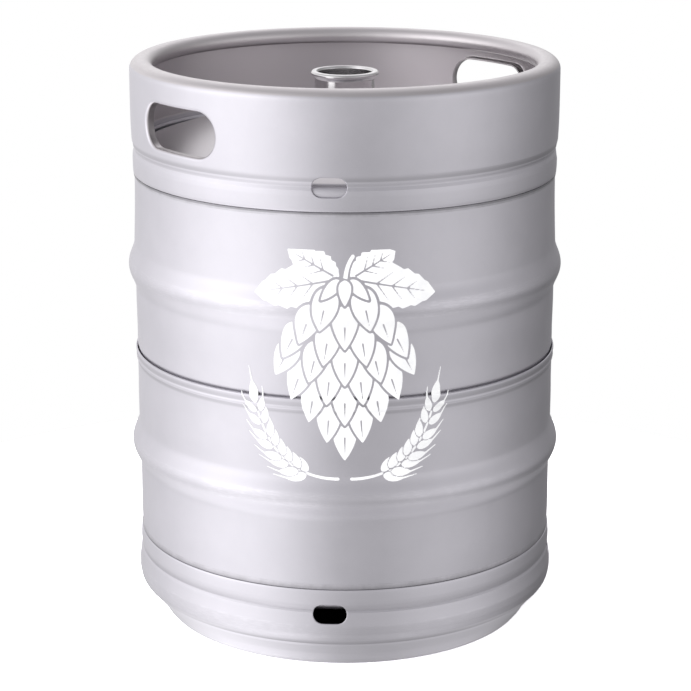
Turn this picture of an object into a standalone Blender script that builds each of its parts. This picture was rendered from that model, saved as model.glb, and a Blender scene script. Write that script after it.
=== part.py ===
"""A 50 litre stainless steel beer keg with a well-type (bayonet) extractor valve.

Frame: metres, +Z up, origin at the centre of the foot ring on the floor. The
front, with one pair of drain slots, faces -Y. Azimuths below are measured from
-Y towards +X.

The vessel is two deep-drawn half shells joined by a joggled lap at mid height.
A top chime with two hand holes and a bottom chime are welded on. A neck is
welded through the upper dome and holds the extractor: a valve body kept by a
snap ring, a sprung gas seal on top of the down tube, and a sprung ball that
closes the beer way.
"""
import math

import bmesh
import bpy
from mathutils import Vector

MM = 0.001

# ---- driving dimensions, in millimetres -------------------------------------
BASE = 5.0                # the heights below are measured from a plane this far
                          # above the floor
HEIGHT = 527.0            # rim crest: 532 above the floor
CHIME_T = 1.6             # chime sheet
SHELL_T = 1.4             # vessel sheet
GAP = 0.35                # clearance between pieces that touch

SEG = 36                  # facets round the vessel
SEG_NECK = 28             # facets round the neck and valve body
SEG_VALVE = 24            # facets round the small valve pieces

LAP_R = 195.2             # shell outer radius under the chimes
DOME_RISE = 34.0          # dome height over DOME_EDGE_R
DOME_EDGE_R = 188.0       # where the dome meets its knuckle
KNUCKLE_TOP_Z = 435.5     # tangent height of the upper knuckle
KNUCKLE_BOT_Z = 64.5      # tangent height of the lower knuckle

TOP_CHIME_EDGE = 422.0    # lower edge of the top chime
BOT_CHIME_EDGE = 76.0     # upper edge of the bottom chime
HOOP_TOP_Z = 334.2        # upper rolling hoop
HOOP_BOT_Z = 162.0        # lower rolling hoop
HOOP_HALF = 22.5          # half the height of a hoop
HOOP_R = 204.0            # hoop outer radius
LAP_TOP_Z = 254.8         # top edge of the lower shell, outside the upper one
LAP_END_Z = 239.4         # bottom edge of the upper shell, inside the lower one

HAND_AZ = (-45.0, 135.0)  # hand holes
HAND_Z = 480.4
HAND_LEN = 99.5
HAND_HIGH = 40.6
HAND_FLANGE = 8.0         # how far the rolled-in flange reaches inwards
SLOT_AZ = (0.0, 90.0, 180.0, 270.0)
SLOT_LEN = 30.6
SLOT_HIGH = 17.6
SLOT_TOP_Z = 443.3
SLOT_BOT_Z = 52.8

NECK_TOP = 513.0
NECK_R = 28.0
NECK_LIP_R = 31.65
NECK_BORE_R = 25.25
NECK_HOLE_R = 28.4        # hole in the upper dome
LEDGE_Z = 486.0           # ledge that carries the valve body
LEDGE_R = 21.6

SEAT_Z = 484.0            # underside of the gas valve seat
SEAT_R = 15.0
BALL_R = 9.2
BALL_Z = 476.66
TUBE_R = 8.0
TUBE_T = 1.0
TUBE_TOP = 451.2
TUBE_BOTTOM = 30.0
SPRING_R = 15.6
SPRING_WIRE = 2.2
SPRING_LOW = 433.35
SPRING_HIGH = 473.65
BALL_SPRING_R = 8.0
BALL_SPRING_WIRE = 1.1
BALL_SPRING_LOW = 456.3
BALL_SPRING_HIGH = 471.1


# ---- helpers ----------------------------------------------------------------
def clear_scene():
    for obj in list(bpy.data.objects):
        bpy.data.objects.remove(obj, do_unlink=True)


def make_material(name, rgb, metallic, roughness):
    mat = bpy.data.materials.new(name)
    mat.use_nodes = True
    bsdf = mat.node_tree.nodes["Principled BSDF"]
    bsdf.inputs["Base Color"].default_value = (rgb[0], rgb[1], rgb[2], 1.0)
    bsdf.inputs["Metallic"].default_value = metallic
    bsdf.inputs["Roughness"].default_value = roughness
    mat.diffuse_color = (rgb[0], rgb[1], rgb[2], 1.0)
    return mat


def finish(name, bm, mat=None, parent=None, at_z=0.0, sharp=32.0):
    """Turn a bmesh in millimetres into a named object in metres."""
    bmesh.ops.remove_doubles(bm, verts=bm.verts, dist=1e-4)
    lift = BASE if parent is None else 0.0
    bmesh.ops.translate(bm, verts=bm.verts, vec=(0.0, 0.0, lift - at_z))
    bmesh.ops.scale(bm, verts=bm.verts, vec=(MM, MM, MM))
    bmesh.ops.recalc_face_normals(bm, faces=bm.faces)
    mesh = bpy.data.meshes.new(name)
    bm.to_mesh(mesh)
    bm.free()
    mesh.shade_smooth()
    mesh.set_sharp_from_angle(angle=math.radians(sharp))
    obj = bpy.data.objects.new(name, mesh)
    bpy.context.scene.collection.objects.link(obj)
    if mat is not None:
        mesh.materials.append(mat)
    base = 0.0
    if parent is not None:
        obj.parent = parent
        base = parent.matrix_world.translation.z
    obj.location = (0.0, 0.0, (at_z + BASE - lift) * MM - base)
    return obj


def empty(name, z):
    obj = bpy.data.objects.new(name, None)
    obj.empty_display_size = 0.02
    bpy.context.scene.collection.objects.link(obj)
    obj.location = (0.0, 0.0, (z + BASE) * MM)
    bpy.context.view_layer.update()
    return obj


def spin_profile(points, seg, closed=True, angle=360.0, start=0.0):
    """Spin an (r, z) outline about Z; a part turn gets flat ends."""
    bm = bmesh.new()
    a0 = math.radians(start)
    verts = [bm.verts.new((r * math.sin(a0), -r * math.cos(a0), z))
             for r, z in points]
    pairs = list(zip(verts, verts[1:]))
    if closed:
        pairs.append((verts[-1], verts[0]))
    edges = [bm.edges.new(p) for p in pairs]
    full = abs(angle - 360.0) < 1e-9
    if not full:
        cap = bm.faces.new(verts)
        bmesh.ops.spin(bm, geom=[cap], cent=(0, 0, 0), axis=(0, 0, 1),
                       angle=math.radians(angle), steps=seg)
    else:
        bmesh.ops.spin(bm, geom=verts + edges, cent=(0, 0, 0), axis=(0, 0, 1),
                       angle=math.radians(angle), steps=seg, use_merge=True)
    bmesh.ops.remove_doubles(bm, verts=bm.verts, dist=1e-4)
    return bm


def offset_line(points, t):
    """The line at distance t to the right of a polyline, mitred."""
    out = []
    n = len(points)
    for i, (r, z) in enumerate(points):
        dirs = []
        if i > 0:
            dirs.append((r - points[i - 1][0], z - points[i - 1][1]))
        if i < n - 1:
            dirs.append((points[i + 1][0] - r, points[i + 1][1] - z))
        norms = []
        for dr, dz in dirs:
            length = math.hypot(dr, dz)
            norms.append((dz / length, -dr / length))
        mr = sum(v[0] for v in norms) / len(norms)
        mz = sum(v[1] for v in norms) / len(norms)
        length = math.hypot(mr, mz)
        mr, mz = mr / length, mz / length
        along = mr * norms[0][0] + mz * norms[0][1]
        scale = min(1.0 / max(along, 1e-3), 1.4)
        out.append((r + mr * t * scale, z + mz * t * scale))
    return out


def sheet(outer, t, drop=()):
    """Closed outline of a sheet whose outer face is the given polyline."""
    inner = [p for i, p in enumerate(offset_line(outer, t)) if i not in drop]
    return list(outer) + inner[::-1]


def ellipse(cr, cz, ar, az, a0, a1, n):
    """n + 1 points on an ellipse; angles from +r towards +z, in degrees."""
    pts = []
    for i in range(n + 1):
        a = math.radians(a0 + (a1 - a0) * i / n)
        pts.append((cr + ar * math.cos(a), cz + az * math.sin(a)))
    return pts


def hoop(zc, base_above, base_below, n):
    """Rolling hoop: a rounded bead from zc + HOOP_HALF down to zc - HOOP_HALF."""
    pts = []
    for i in range(n + 1):
        z = zc + HOOP_HALF - 2.0 * HOOP_HALF * i / n
        k = 0.5 + 0.5 * math.cos(math.pi * (z - zc) / HOOP_HALF)
        base = base_above if z > zc else base_below
        pts.append((base + (HOOP_R - base) * k, z))
    return pts


def dome_z(r, crown, sign):
    return crown - sign * DOME_RISE * (r / DOME_EDGE_R) ** 2


def knuckle(z_tangent, sign, n):
    """Arc from the dome edge out to the vertical lap wall (sign +1 on top)."""
    slope = math.atan(2.0 * DOME_RISE / DOME_EDGE_R)
    rho = (LAP_R - DOME_EDGE_R) / (1.0 - math.sin(slope))
    cr = LAP_R - rho
    pts = []
    for i in range(n + 1):
        a = (math.pi / 2 - slope) * (1.0 - i / n)
        pts.append((cr + rho * math.cos(a), z_tangent + sign * rho * math.sin(a)))
    return pts


def obround_rows(length, high, n_end, n_mid):
    """(s, half height) pairs from one end of an obround to the other."""
    rad = high / 2.0
    mid = length / 2.0 - rad
    rows = []
    for i in range(n_end + 1):
        a = math.pi / 2 * i / n_end
        rows.append((-mid - rad * math.cos(a), rad * math.sin(a)))
    for i in range(1, n_mid):
        rows.append((-mid + 2.0 * mid * i / n_mid, rad))
    for i in range(n_end + 1):
        a = math.pi / 2 * (1.0 - i / n_end)
        rows.append((mid + rad * math.cos(a), rad * math.sin(a)))
    return rows


def add_radial_obround(bm, az, zc, rows, r_ref, r_out, r_in):
    """Add a closed obround plug whose sides run towards the keg's axis."""
    def point(r, s, h):
        a = math.radians(az) + s / r_ref
        return (r * math.sin(a), -r * math.cos(a), zc + h)

    rings = []
    for r in (r_out, r_in):
        top, bottom = [], []
        for s, h in rows:
            if h < 1e-6:
                v = bm.verts.new(point(r, s, 0.0))
                top.append(v)
                bottom.append(v)
            else:
                top.append(bm.verts.new(point(r, s, h)))
                bottom.append(bm.verts.new(point(r, s, -h)))
        rings.append((top, bottom))
    for top, bottom in rings:
        for i in range(len(rows) - 1):
            quad = []
            for v in (top[i], top[i + 1], bottom[i + 1], bottom[i]):
                if v not in quad:
                    quad.append(v)
            bm.faces.new(quad)
    for k in (0, 1):
        a, b = rings[0][k], rings[1][k]
        for i in range(len(rows) - 1):
            bm.faces.new((a[i], a[i + 1], b[i + 1], b[i]))


def guide(name, bm):
    obj = finish(name, bm)
    obj.hide_render = True
    obj.display_type = 'WIRE'
    return obj


def boolean(obj, other, operation):
    mod = obj.modifiers.new(other.name, 'BOOLEAN')
    mod.object = other
    mod.operation = operation
    mod.solver = 'EXACT'
    return mod


def coil(radius, wire, z_low, z_high, turns, per_turn, sides):
    """Round-wire compression spring with one close end turn at each end."""
    r_wire = wire / 2.0
    lo, hi = z_low + r_wire, z_high - r_wire
    close = wire + GAP
    pitch = (hi - lo - 2.0 * close) / (turns - 2.0)

    def height(t):
        if t <= 1.0:
            return lo + close * t
        if t >= turns - 1.0:
            return hi - close * (turns - t)
        return lo + close + pitch * (t - 1.0)

    bm = bmesh.new()
    rings = []
    count = int(turns * per_turn)
    for i in range(count + 1):
        t = i / per_turn
        a = 2.0 * math.pi * t
        centre = Vector((radius * math.cos(a), radius * math.sin(a), height(t)))
        out = Vector((math.cos(a), math.sin(a), 0.0))
        dz = (height(min(t + 0.02, turns)) - height(max(t - 0.02, 0.0)))
        dt = (min(t + 0.02, turns) - max(t - 0.02, 0.0)) * 2.0 * math.pi
        tangent = Vector((-math.sin(a) * radius, math.cos(a) * radius, dz / dt))
        tangent.normalize()
        up = out.cross(tangent).normalized()
        ring = []
        for k in range(sides):
            b = 2.0 * math.pi * k / sides
            ring.append(bm.verts.new(centre + out * (r_wire * math.cos(b))
                                     + up * (r_wire * math.sin(b))))
        rings.append(ring)
    for a, b in zip(rings, rings[1:]):
        for k in range(sides):
            k2 = (k + 1) % sides
            bm.faces.new((a[k], a[k2], b[k2], b[k]))
    bm.faces.new(rings[0][::-1])
    bm.faces.new(rings[-1])
    return bm


# ---- the keg ----------------------------------------------------------------
clear_scene()

satin = make_material("satin_stainless", (0.62, 0.61, 0.64), 1.0, 0.42)
chime_steel = make_material("chime_stainless", (0.60, 0.59, 0.62), 1.0, 0.40)
weld_steel = make_material("weld_stainless", (0.50, 0.49, 0.50), 1.0, 0.50)
polished = make_material("polished_stainless", (0.70, 0.69, 0.70), 1.0, 0.16)
machined = make_material("machined_stainless", (0.66, 0.65, 0.66), 1.0, 0.25)
spring_steel = make_material("spring_stainless", (0.55, 0.55, 0.57), 1.0, 0.30)
ball_steel = make_material("ball_stainless", (0.74, 0.74, 0.75), 1.0, 0.08)
rubber = make_material("seal_rubber", (0.025, 0.025, 0.027), 0.0, 0.60)

# Upper half shell: dome, knuckle, lap under the chime, wall with one hoop, and
# a joggled lower edge that slides inside the lower half.
crown_top = KNUCKLE_TOP_Z + knuckle(0.0, 1.0, 2)[0][1] + DOME_RISE
upper = [(NECK_HOLE_R, dome_z(NECK_HOLE_R, crown_top, 1.0))]
upper += [(r, dome_z(r, crown_top, 1.0)) for r in (86.0, 140.0)]
upper += knuckle(KNUCKLE_TOP_Z, 1.0, 2)
upper += [(LAP_R, 422.6), (196.35, 420.0), (196.75, 390.0)]
upper += hoop(HOOP_TOP_Z, 198.0, 197.4, 4)
upper += [(197.1, 258.5), (196.3, 255.5), (196.3, LAP_END_Z)]
upper_shell = finish("upper_shell",
                     spin_profile(sheet(upper, SHELL_T), SEG),
                     satin)

# Lower half shell: belled top edge over the upper half, wall with one hoop,
# lap inside the foot chime, dome with a centre sump for the down tube.
crown_bot = KNUCKLE_BOT_Z + knuckle(0.0, -1.0, 2)[0][1] - DOME_RISE
lower = [(198.2, LAP_TOP_Z), (198.5, 252.4), (198.5, 242.4), (197.15, 230.9)]
lower += hoop(HOOP_BOT_Z, 197.4, 196.8, 4)
lower += [(196.6, 84.0), (196.35, 79.2), (LAP_R, 76.6)]
lower += knuckle(KNUCKLE_BOT_Z, -1.0, 2)[::-1]
lower += [(r, dome_z(r, crown_bot, -1.0)) for r in (136.0, 82.0)]
lower += [(44.0, dome_z(44.0, crown_bot, -1.0) - 0.6), (32.0, crown_bot - 3.4),
          (0.0, crown_bot - 4.0)]
inner_line = offset_line(lower, SHELL_T)
inner_line[-1] = (0.0, lower[-1][1] + SHELL_T)
profile = lower[::-1] + inner_line
lower_shell = finish("lower_shell", spin_profile(profile, SEG, closed=False), satin)

# Girth weld, inside, under the upper half's edge.
girth = [(195.15, LAP_END_Z - 0.35), (196.2, LAP_END_Z - 0.35),
         (196.1, LAP_END_Z - 2.2), (195.3, LAP_END_Z - 1.5)]
finish("girth_weld", spin_profile(girth, SEG), weld_steel)

# Top chime: tucked curl, crest with a narrow flat, wall, pressed groove, band
# that laps the shell.
curl_top = [(184.0, 512.0), (180.4, 512.9)]
curl_top += ellipse(186.2, HEIGHT - 8.6, 8.7, 8.6, 205.0, 90.0, 4)
curl_top += ellipse(187.8, HEIGHT - 9.6, 11.2, 9.6, 90.0, 12.0, 3)
wall_top = [(199.0, 509.0), (199.0, 482.0), (198.45, 451.8), (195.85, 443.4),
            (197.6, 436.0), (197.7, 430.0), (197.35, TOP_CHIME_EDGE)]
chime_outline = sheet(curl_top + wall_top, CHIME_T, drop=(5,))
top_chime = finish("top_chime", spin_profile(chime_outline, SEG), chime_steel)

hand_rows = obround_rows(HAND_LEN, HAND_HIGH, 3, 4)
flange_rows = obround_rows(HAND_LEN + 2 * CHIME_T, HAND_HIGH + 2 * CHIME_T, 3, 4)
slot_rows = obround_rows(SLOT_LEN, SLOT_HIGH, 3, 2)
bm = bmesh.new()
for az in HAND_AZ:
    add_radial_obround(bm, az, HAND_Z, flange_rows, 199.2, 198.0,
                       199.2 - CHIME_T - HAND_FLANGE)
hand_flanges = guide("hand_flange_guide", bm)
bm = bmesh.new()
for az in HAND_AZ:
    add_radial_obround(bm, az, HAND_Z, hand_rows, 199.2, 206.0, 180.0)
for az in SLOT_AZ:
    add_radial_obround(bm, az, SLOT_TOP_Z, slot_rows, 196.5, 206.0, 186.0)
top_cutter = guide("top_chime_cutter", bm)
boolean(top_chime, hand_flanges, 'UNION')
boolean(top_chime, top_cutter, 'DIFFERENCE')

# Bottom chime: band that laps the shell, groove, foot wall, waist, and the
# rolled foot bead with a narrow flat on the floor.
foot = [(197.45, BOT_CHIME_EDGE), (198.0, 65.0), (197.85, 59.5), (197.3, 56.2),
        (198.2, 51.2), (199.9, 40.5), (200.0, 34.5), (198.9, 28.2),
        (196.3, 24.4), (193.4, 22.0), (190.9, 18.4), (185.4, 12.0),
        (179.8, 4.0), (177.2, -0.6), (172.4, -BASE), (168.6, -BASE),
        (164.8, -2.2), (163.8, 3.4), (166.8, 7.8)]
bottom_chime = finish("bottom_chime",
                      spin_profile(sheet(foot, CHIME_T, drop=(2, 11)), SEG),
                      chime_steel)
bm = bmesh.new()
for az in SLOT_AZ:
    add_radial_obround(bm, az, SLOT_BOT_Z, slot_rows, 198.0, 206.0, 186.0)
bottom_cutter = guide("bottom_chime_cutter", bm)
boolean(bottom_chime, bottom_cutter, 'DIFFERENCE')

# Dressed welds in the step at each chime's edge.
finish("top_chime_weld",
       spin_profile([(195.75, 421.65), (197.15, 421.65), (196.75, 420.3),
                     (196.55, 420.6)], SEG), weld_steel)
finish("bottom_chime_weld",
       spin_profile([(195.75, 76.35), (196.75, 78.3), (197.2, 76.35)], SEG),
       weld_steel)

# Neck: rolled lip with a flat top for the coupler, bore, snap ring groove, and
# a ledge for the valve body.
neck_outline = [
    (26.6, NECK_TOP), (30.4, NECK_TOP), (31.35, NECK_TOP - 0.7),
    (NECK_LIP_R, NECK_TOP - 2.0), (31.3, NECK_TOP - 3.5), (29.4, NECK_TOP - 4.5),
    (NECK_R, NECK_TOP - 6.0), (NECK_R, 468.0), (LEDGE_R, 468.0),
    (LEDGE_R, LEDGE_Z), (NECK_BORE_R, LEDGE_Z), (NECK_BORE_R, 494.1),
    (26.45, 494.1), (26.45, 496.4), (NECK_BORE_R, 496.4),
    (NECK_BORE_R, NECK_TOP - 1.4)]
finish("neck", spin_profile(neck_outline, SEG_NECK), polished)
z_hole = dome_z(NECK_HOLE_R, crown_top, 1.0)
finish("neck_weld",
       spin_profile([(NECK_R + 0.35, z_hole + 0.35), (NECK_R + 0.35, z_hole + 3.4),
                     (NECK_R + 2.0, z_hole + 2.6), (NECK_R + 4.0, z_hole + 0.35)],
                    SEG_NECK), weld_steel)

# Valve body: collar with two bayonet lugs, seat for the gas seal, skirt.
body_outline = [
    (24.9, 488.65), (24.9, 493.75), (20.4, 493.75), (20.4, 488.4),
    (SEAT_R, 486.4), (SEAT_R, SEAT_Z), (18.95, SEAT_Z), (18.95, 476.0),
    (21.2, 476.0), (21.2, 488.65)]
extractor_body = finish("extractor_body", spin_profile(body_outline, SEG_NECK),
                        machined)
bm = bmesh.new()
for az in (-32.0, 148.0):
    part = spin_profile([(17.6, 490.9), (17.6, 493.2), (22.5, 493.2),
                         (22.5, 490.9)], 6, angle=64.0, start=az)
    mesh = bpy.data.meshes.new("lug")
    part.to_mesh(mesh)
    part.free()
    bm.from_mesh(mesh)
    bpy.data.meshes.remove(mesh)
lugs = guide("lug_guide", bm)
boolean(extractor_body, lugs, 'UNION')

finish("body_seal",
       spin_profile([(22.3, 486.35), (24.5, 486.35), (24.85, 487.3),
                     (24.5, 488.3), (22.3, 488.3), (21.95, 487.3)], SEG_VALVE),
       rubber)
finish("lock_ring",
       spin_profile([(23.7, 494.45), (26.1, 494.45), (26.1, 496.05),
                     (23.7, 496.05)], 26, angle=334.0, start=13.0),
       spring_steel)

# Spring cage: a pressed cup in the valve body's skirt, with three windows.
cage = [(18.6, 482.6), (18.6, 433.2), (17.4, 431.8), (8.95, 431.8),
        (8.95, 433.0), (17.6, 433.0), (17.6, 482.6)]
spring_cage = finish("spring_cage", spin_profile(cage, SEG_NECK), machined)
bm = bmesh.new()
window_rows = obround_rows(24.0, 14.0, 2, 2)
for az in (60.0, 180.0, 300.0):
    add_radial_obround(bm, az, 464.0, window_rows, 18.6, 24.0, 14.0)
windows = guide("cage_window_cutter", bm)
boolean(spring_cage, windows, 'DIFFERENCE')

finish("main_spring",
       coil(SPRING_R, SPRING_WIRE, SPRING_LOW, SPRING_HIGH, 7.0, 12, 5),
       spring_steel)

# The moving spear: tube, head, steel carrier and rubber gas seal.
spear_axis = empty("spear_axis", SEAT_Z)
head = [(12.2, 478.2), (17.2, 478.2), (17.2, 475.2), (16.8, 474.0),
        (13.8, 474.0), (13.8, 455.0), (9.9, 449.8), (9.9, 445.5), (8.35, 445.5),
        (8.35, 451.55), (7.0, 451.55), (7.0, 456.0), (12.2, 456.0)]
finish("tube_head", spin_profile(head, SEG_VALVE), machined, spear_axis, 474.0)
tube = [(TUBE_R, TUBE_TOP), (TUBE_R, TUBE_BOTTOM),
        (TUBE_R - TUBE_T, TUBE_BOTTOM), (TUBE_R - TUBE_T, TUBE_TOP)]
finish("down_tube", spin_profile(tube, 18), polished, spear_axis, TUBE_TOP)
finish("seal_carrier",
       spin_profile([(12.4, 478.55), (17.1, 478.55), (17.1, 479.6),
                     (12.4, 479.6)], SEG_VALVE), machined, spear_axis, 478.55)
finish("gas_seal",
       spin_profile([(9.9, 478.55), (12.0, 478.55), (12.0, 479.95),
                     (17.0, 479.95), (17.2, 481.6), (16.6, 483.65),
                     (9.3, 483.65), (8.1, 482.9), (8.05, 482.0), (9.4, 480.0)],
                    SEG_VALVE), rubber, spear_axis, 478.55)

# The ball and its spring, inside the head.
ball_axis = empty("ball_axis", BALL_Z)
bm = bmesh.new()
bmesh.ops.create_uvsphere(bm, u_segments=18, v_segments=10, radius=BALL_R)
bmesh.ops.translate(bm, verts=bm.verts, vec=(0.0, 0.0, BALL_Z))
finish("valve_ball", bm, ball_steel, ball_axis, BALL_Z, sharp=60.0)
finish("ball_spring",
       coil(BALL_SPRING_R, BALL_SPRING_WIRE, BALL_SPRING_LOW, BALL_SPRING_HIGH,
            5.0, 10, 4), spring_steel, spear_axis, BALL_SPRING_LOW)
ball_axis.parent = spear_axis
ball_axis.location.z -= (SEAT_Z + BASE) * MM
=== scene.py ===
"""Finished look of a 50 litre stainless beer keg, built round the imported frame.

Metres, +Z up, front towards -Y. Outlines are (r, z) in millimetres; azimuths
are measured from -Y towards +X.
"""

import math

import bpy
import numpy as np
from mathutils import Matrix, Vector


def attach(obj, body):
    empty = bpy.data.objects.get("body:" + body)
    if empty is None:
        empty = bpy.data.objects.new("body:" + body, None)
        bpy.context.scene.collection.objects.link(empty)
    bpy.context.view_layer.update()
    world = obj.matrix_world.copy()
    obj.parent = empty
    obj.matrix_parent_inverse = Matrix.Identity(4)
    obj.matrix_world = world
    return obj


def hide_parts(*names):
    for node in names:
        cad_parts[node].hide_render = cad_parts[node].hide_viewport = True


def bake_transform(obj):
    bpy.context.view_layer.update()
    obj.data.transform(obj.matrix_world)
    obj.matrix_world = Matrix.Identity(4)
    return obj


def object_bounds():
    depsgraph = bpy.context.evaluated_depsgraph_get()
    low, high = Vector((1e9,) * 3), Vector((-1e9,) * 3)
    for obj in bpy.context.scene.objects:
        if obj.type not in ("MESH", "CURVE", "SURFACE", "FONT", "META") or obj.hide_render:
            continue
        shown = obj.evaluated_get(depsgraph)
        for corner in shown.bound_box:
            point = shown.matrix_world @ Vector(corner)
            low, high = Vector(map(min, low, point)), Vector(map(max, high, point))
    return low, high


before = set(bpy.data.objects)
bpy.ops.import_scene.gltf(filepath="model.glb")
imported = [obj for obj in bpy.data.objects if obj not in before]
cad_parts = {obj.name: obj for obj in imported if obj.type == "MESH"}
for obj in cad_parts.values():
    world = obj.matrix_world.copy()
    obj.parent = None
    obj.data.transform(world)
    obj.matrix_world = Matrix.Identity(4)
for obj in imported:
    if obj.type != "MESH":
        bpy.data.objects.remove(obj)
CAD_LOW, CAD_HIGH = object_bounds()

MM = 0.001
SEG = 288                # steps round the vessel
SEG_NECK = 144           # steps round the neck and the valve body
SEG_VALVE = 96           # steps round the small valve pieces

BASE = 5.0               # heights below are measured from this far above the floor
HEIGHT = CAD_HIGH.z / MM - BASE
CHIME_T = 1.6
SHELL_T = 1.4
HOOP_HALF = 22.5
HOOP_TOP_Z, HOOP_TOP_R = 334.2, 203.8
HOOP_BOT_Z, HOOP_BOT_R = 162.0, 203.95
DOME_RISE, DOME_EDGE_R = 34.0, 188.0
LAP_R = 195.2
HAND_AZ = (-45.0, 135.0)
HAND_Z, HAND_LEN, HAND_HIGH = 480.4, 99.5, 40.6
SLOT_AZ = (0.0, 90.0, 180.0, 270.0)
SLOT_LEN, SLOT_HIGH = 30.6, 17.6
SLOT_TOP_Z, SLOT_BOT_Z = 443.3, 52.8


# ---- outlines -----------------------------------------------------------------
def rounded(points, deg=8.0):
    """Polyline through (r, z) or (r, z, radius) corners, rounded where a radius
    is given."""
    out = []
    n = len(points)
    for i, p in enumerate(points):
        rad = p[2] if len(p) > 2 else 0.0
        here = np.array(p[:2], float)
        if i in (0, n - 1) or rad <= 0.0:
            out.append(tuple(here))
            continue
        a = np.array(points[i - 1][:2], float) - here
        b = np.array(points[i + 1][:2], float) - here
        la, lb = np.linalg.norm(a), np.linalg.norm(b)
        a, b = a / la, b / lb
        turn = math.pi - math.acos(max(-1.0, min(1.0, float(a @ b))))
        if turn < 0.01:
            out.append(tuple(here))
            continue
        t = min(rad * math.tan(turn / 2), 0.49 * la, 0.49 * lb)
        r = t / math.tan(turn / 2)
        steps = max(2, int(math.ceil(math.degrees(turn) / deg)))
        mid = (a + b) / np.linalg.norm(a + b)
        centre = here + mid * (r / math.cos(turn / 2))
        u = (here + a * t - centre) / r
        v = (here + b * t - centre) / r
        for k in range(steps + 1):
            f = k / steps
            w = (u * math.sin((1 - f) * turn) + v * math.sin(f * turn)) / math.sin(turn)
            out.append(tuple(centre + r * w))
    return out


def smooth(points, step):
    """Catmull-Rom curve through the points, with a point every step or less."""
    p = [np.array(q, float) for q in points]
    p = [2 * p[0] - p[1]] + p + [2 * p[-1] - p[-2]]
    out = []
    for i in range(1, len(p) - 2):
        n = max(1, int(math.ceil(np.linalg.norm(p[i + 1] - p[i]) / step)))
        for k in range(n):
            t = k / n
            out.append(tuple(0.5 * (2 * p[i] + (p[i + 1] - p[i - 1]) * t
                                    + (2 * p[i - 1] - 5 * p[i] + 4 * p[i + 1] - p[i + 2]) * t * t
                                    + (3 * p[i] - p[i - 1] - 3 * p[i + 1] + p[i + 2]) * t ** 3)))
    out.append(tuple(p[-2]))
    return out


def dense(points, step):
    """The same polyline with a point every step or less."""
    out = [tuple(points[0])]
    for a, b in zip(points, points[1:]):
        n = max(1, int(math.ceil(math.hypot(b[0] - a[0], b[1] - a[1]) / step)))
        for k in range(1, n + 1):
            out.append((a[0] + (b[0] - a[0]) * k / n, a[1] + (b[1] - a[1]) * k / n))
    return out


def offset_line(points, t):
    out = []
    n = len(points)
    for i in range(n):
        dirs = []
        if i > 0:
            dirs.append((points[i][0] - points[i - 1][0], points[i][1] - points[i - 1][1]))
        if i < n - 1:
            dirs.append((points[i + 1][0] - points[i][0], points[i + 1][1] - points[i][1]))
        norms = []
        for dr, dz in dirs:
            length = math.hypot(dr, dz) or 1.0
            norms.append((dz / length, -dr / length))
        mr = sum(v[0] for v in norms)
        mz = sum(v[1] for v in norms)
        length = math.hypot(mr, mz) or 1.0
        mr, mz = mr / length, mz / length
        along = mr * norms[0][0] + mz * norms[0][1]
        scale = min(1.0 / max(along, 1e-3), 1.3)
        out.append((points[i][0] + mr * t * scale, points[i][1] + mz * t * scale))
    return out


def ellipse(cr, cz, ar, az, a0, a1, n):
    pts = []
    for i in range(n + 1):
        a = math.radians(a0 + (a1 - a0) * i / n)
        pts.append((cr + ar * math.cos(a), cz + az * math.sin(a)))
    return pts


def end_cap(p, q, out_dir, bulge, n=4):
    """Points between p and q, bulging along out_dir: the dressed end of a sheet."""
    p, q, d = np.array(p), np.array(q), np.array(out_dir, float)
    d = d / np.linalg.norm(d)
    mid, half = (p + q) / 2, (p - q) / 2
    pts = []
    for k in range(1, n):
        a = math.pi * k / n
        pts.append(tuple(mid + half * math.cos(a) + d * bulge * math.sin(a)))
    return pts


def hoop(zc, crest, above, below, n=34):
    pts = []
    for i in range(n + 1):
        z = zc + HOOP_HALF - 2.0 * HOOP_HALF * i / n
        k = 0.5 + 0.5 * math.cos(math.pi * (z - zc) / HOOP_HALF)
        base = above if z > zc else below
        pts.append((base + (crest - base) * k, z))
    return pts


def dome_z(r, crown, sign):
    return crown - sign * DOME_RISE * (r / DOME_EDGE_R) ** 2


def knuckle(z_tangent, sign, n=10):
    slope = math.atan(2.0 * DOME_RISE / DOME_EDGE_R)
    rho = (LAP_R - DOME_EDGE_R) / (1.0 - math.sin(slope))
    cr = LAP_R - rho
    pts = []
    for i in range(n + 1):
        a = (math.pi / 2 - slope) * (1.0 - i / n)
        pts.append((cr + rho * math.cos(a), z_tangent + sign * rho * math.sin(a)))
    return pts


class Sheet:
    """Closed outline of a sheet: outer face, dressed end, inner face, end."""

    def __init__(self, outer, t, bulge=0.45, ends=(True, True)):
        self.outer = list(outer)
        self.inner = offset_line(outer, t)
        o, i = self.outer, self.inner
        cap_b = end_cap(o[-1], i[-1], np.subtract(o[-1], o[-2]), bulge) if ends[1] else []
        cap_a = end_cap(i[0], o[0], np.subtract(o[0], o[1]), bulge) if ends[0] else []
        self.points = o + cap_b + i[::-1] + cap_a
        self.n_cap = len(cap_b)

    def inner_row(self, i):
        n = len(self.outer)
        return n + self.n_cap + (n - 1 - i)


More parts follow.
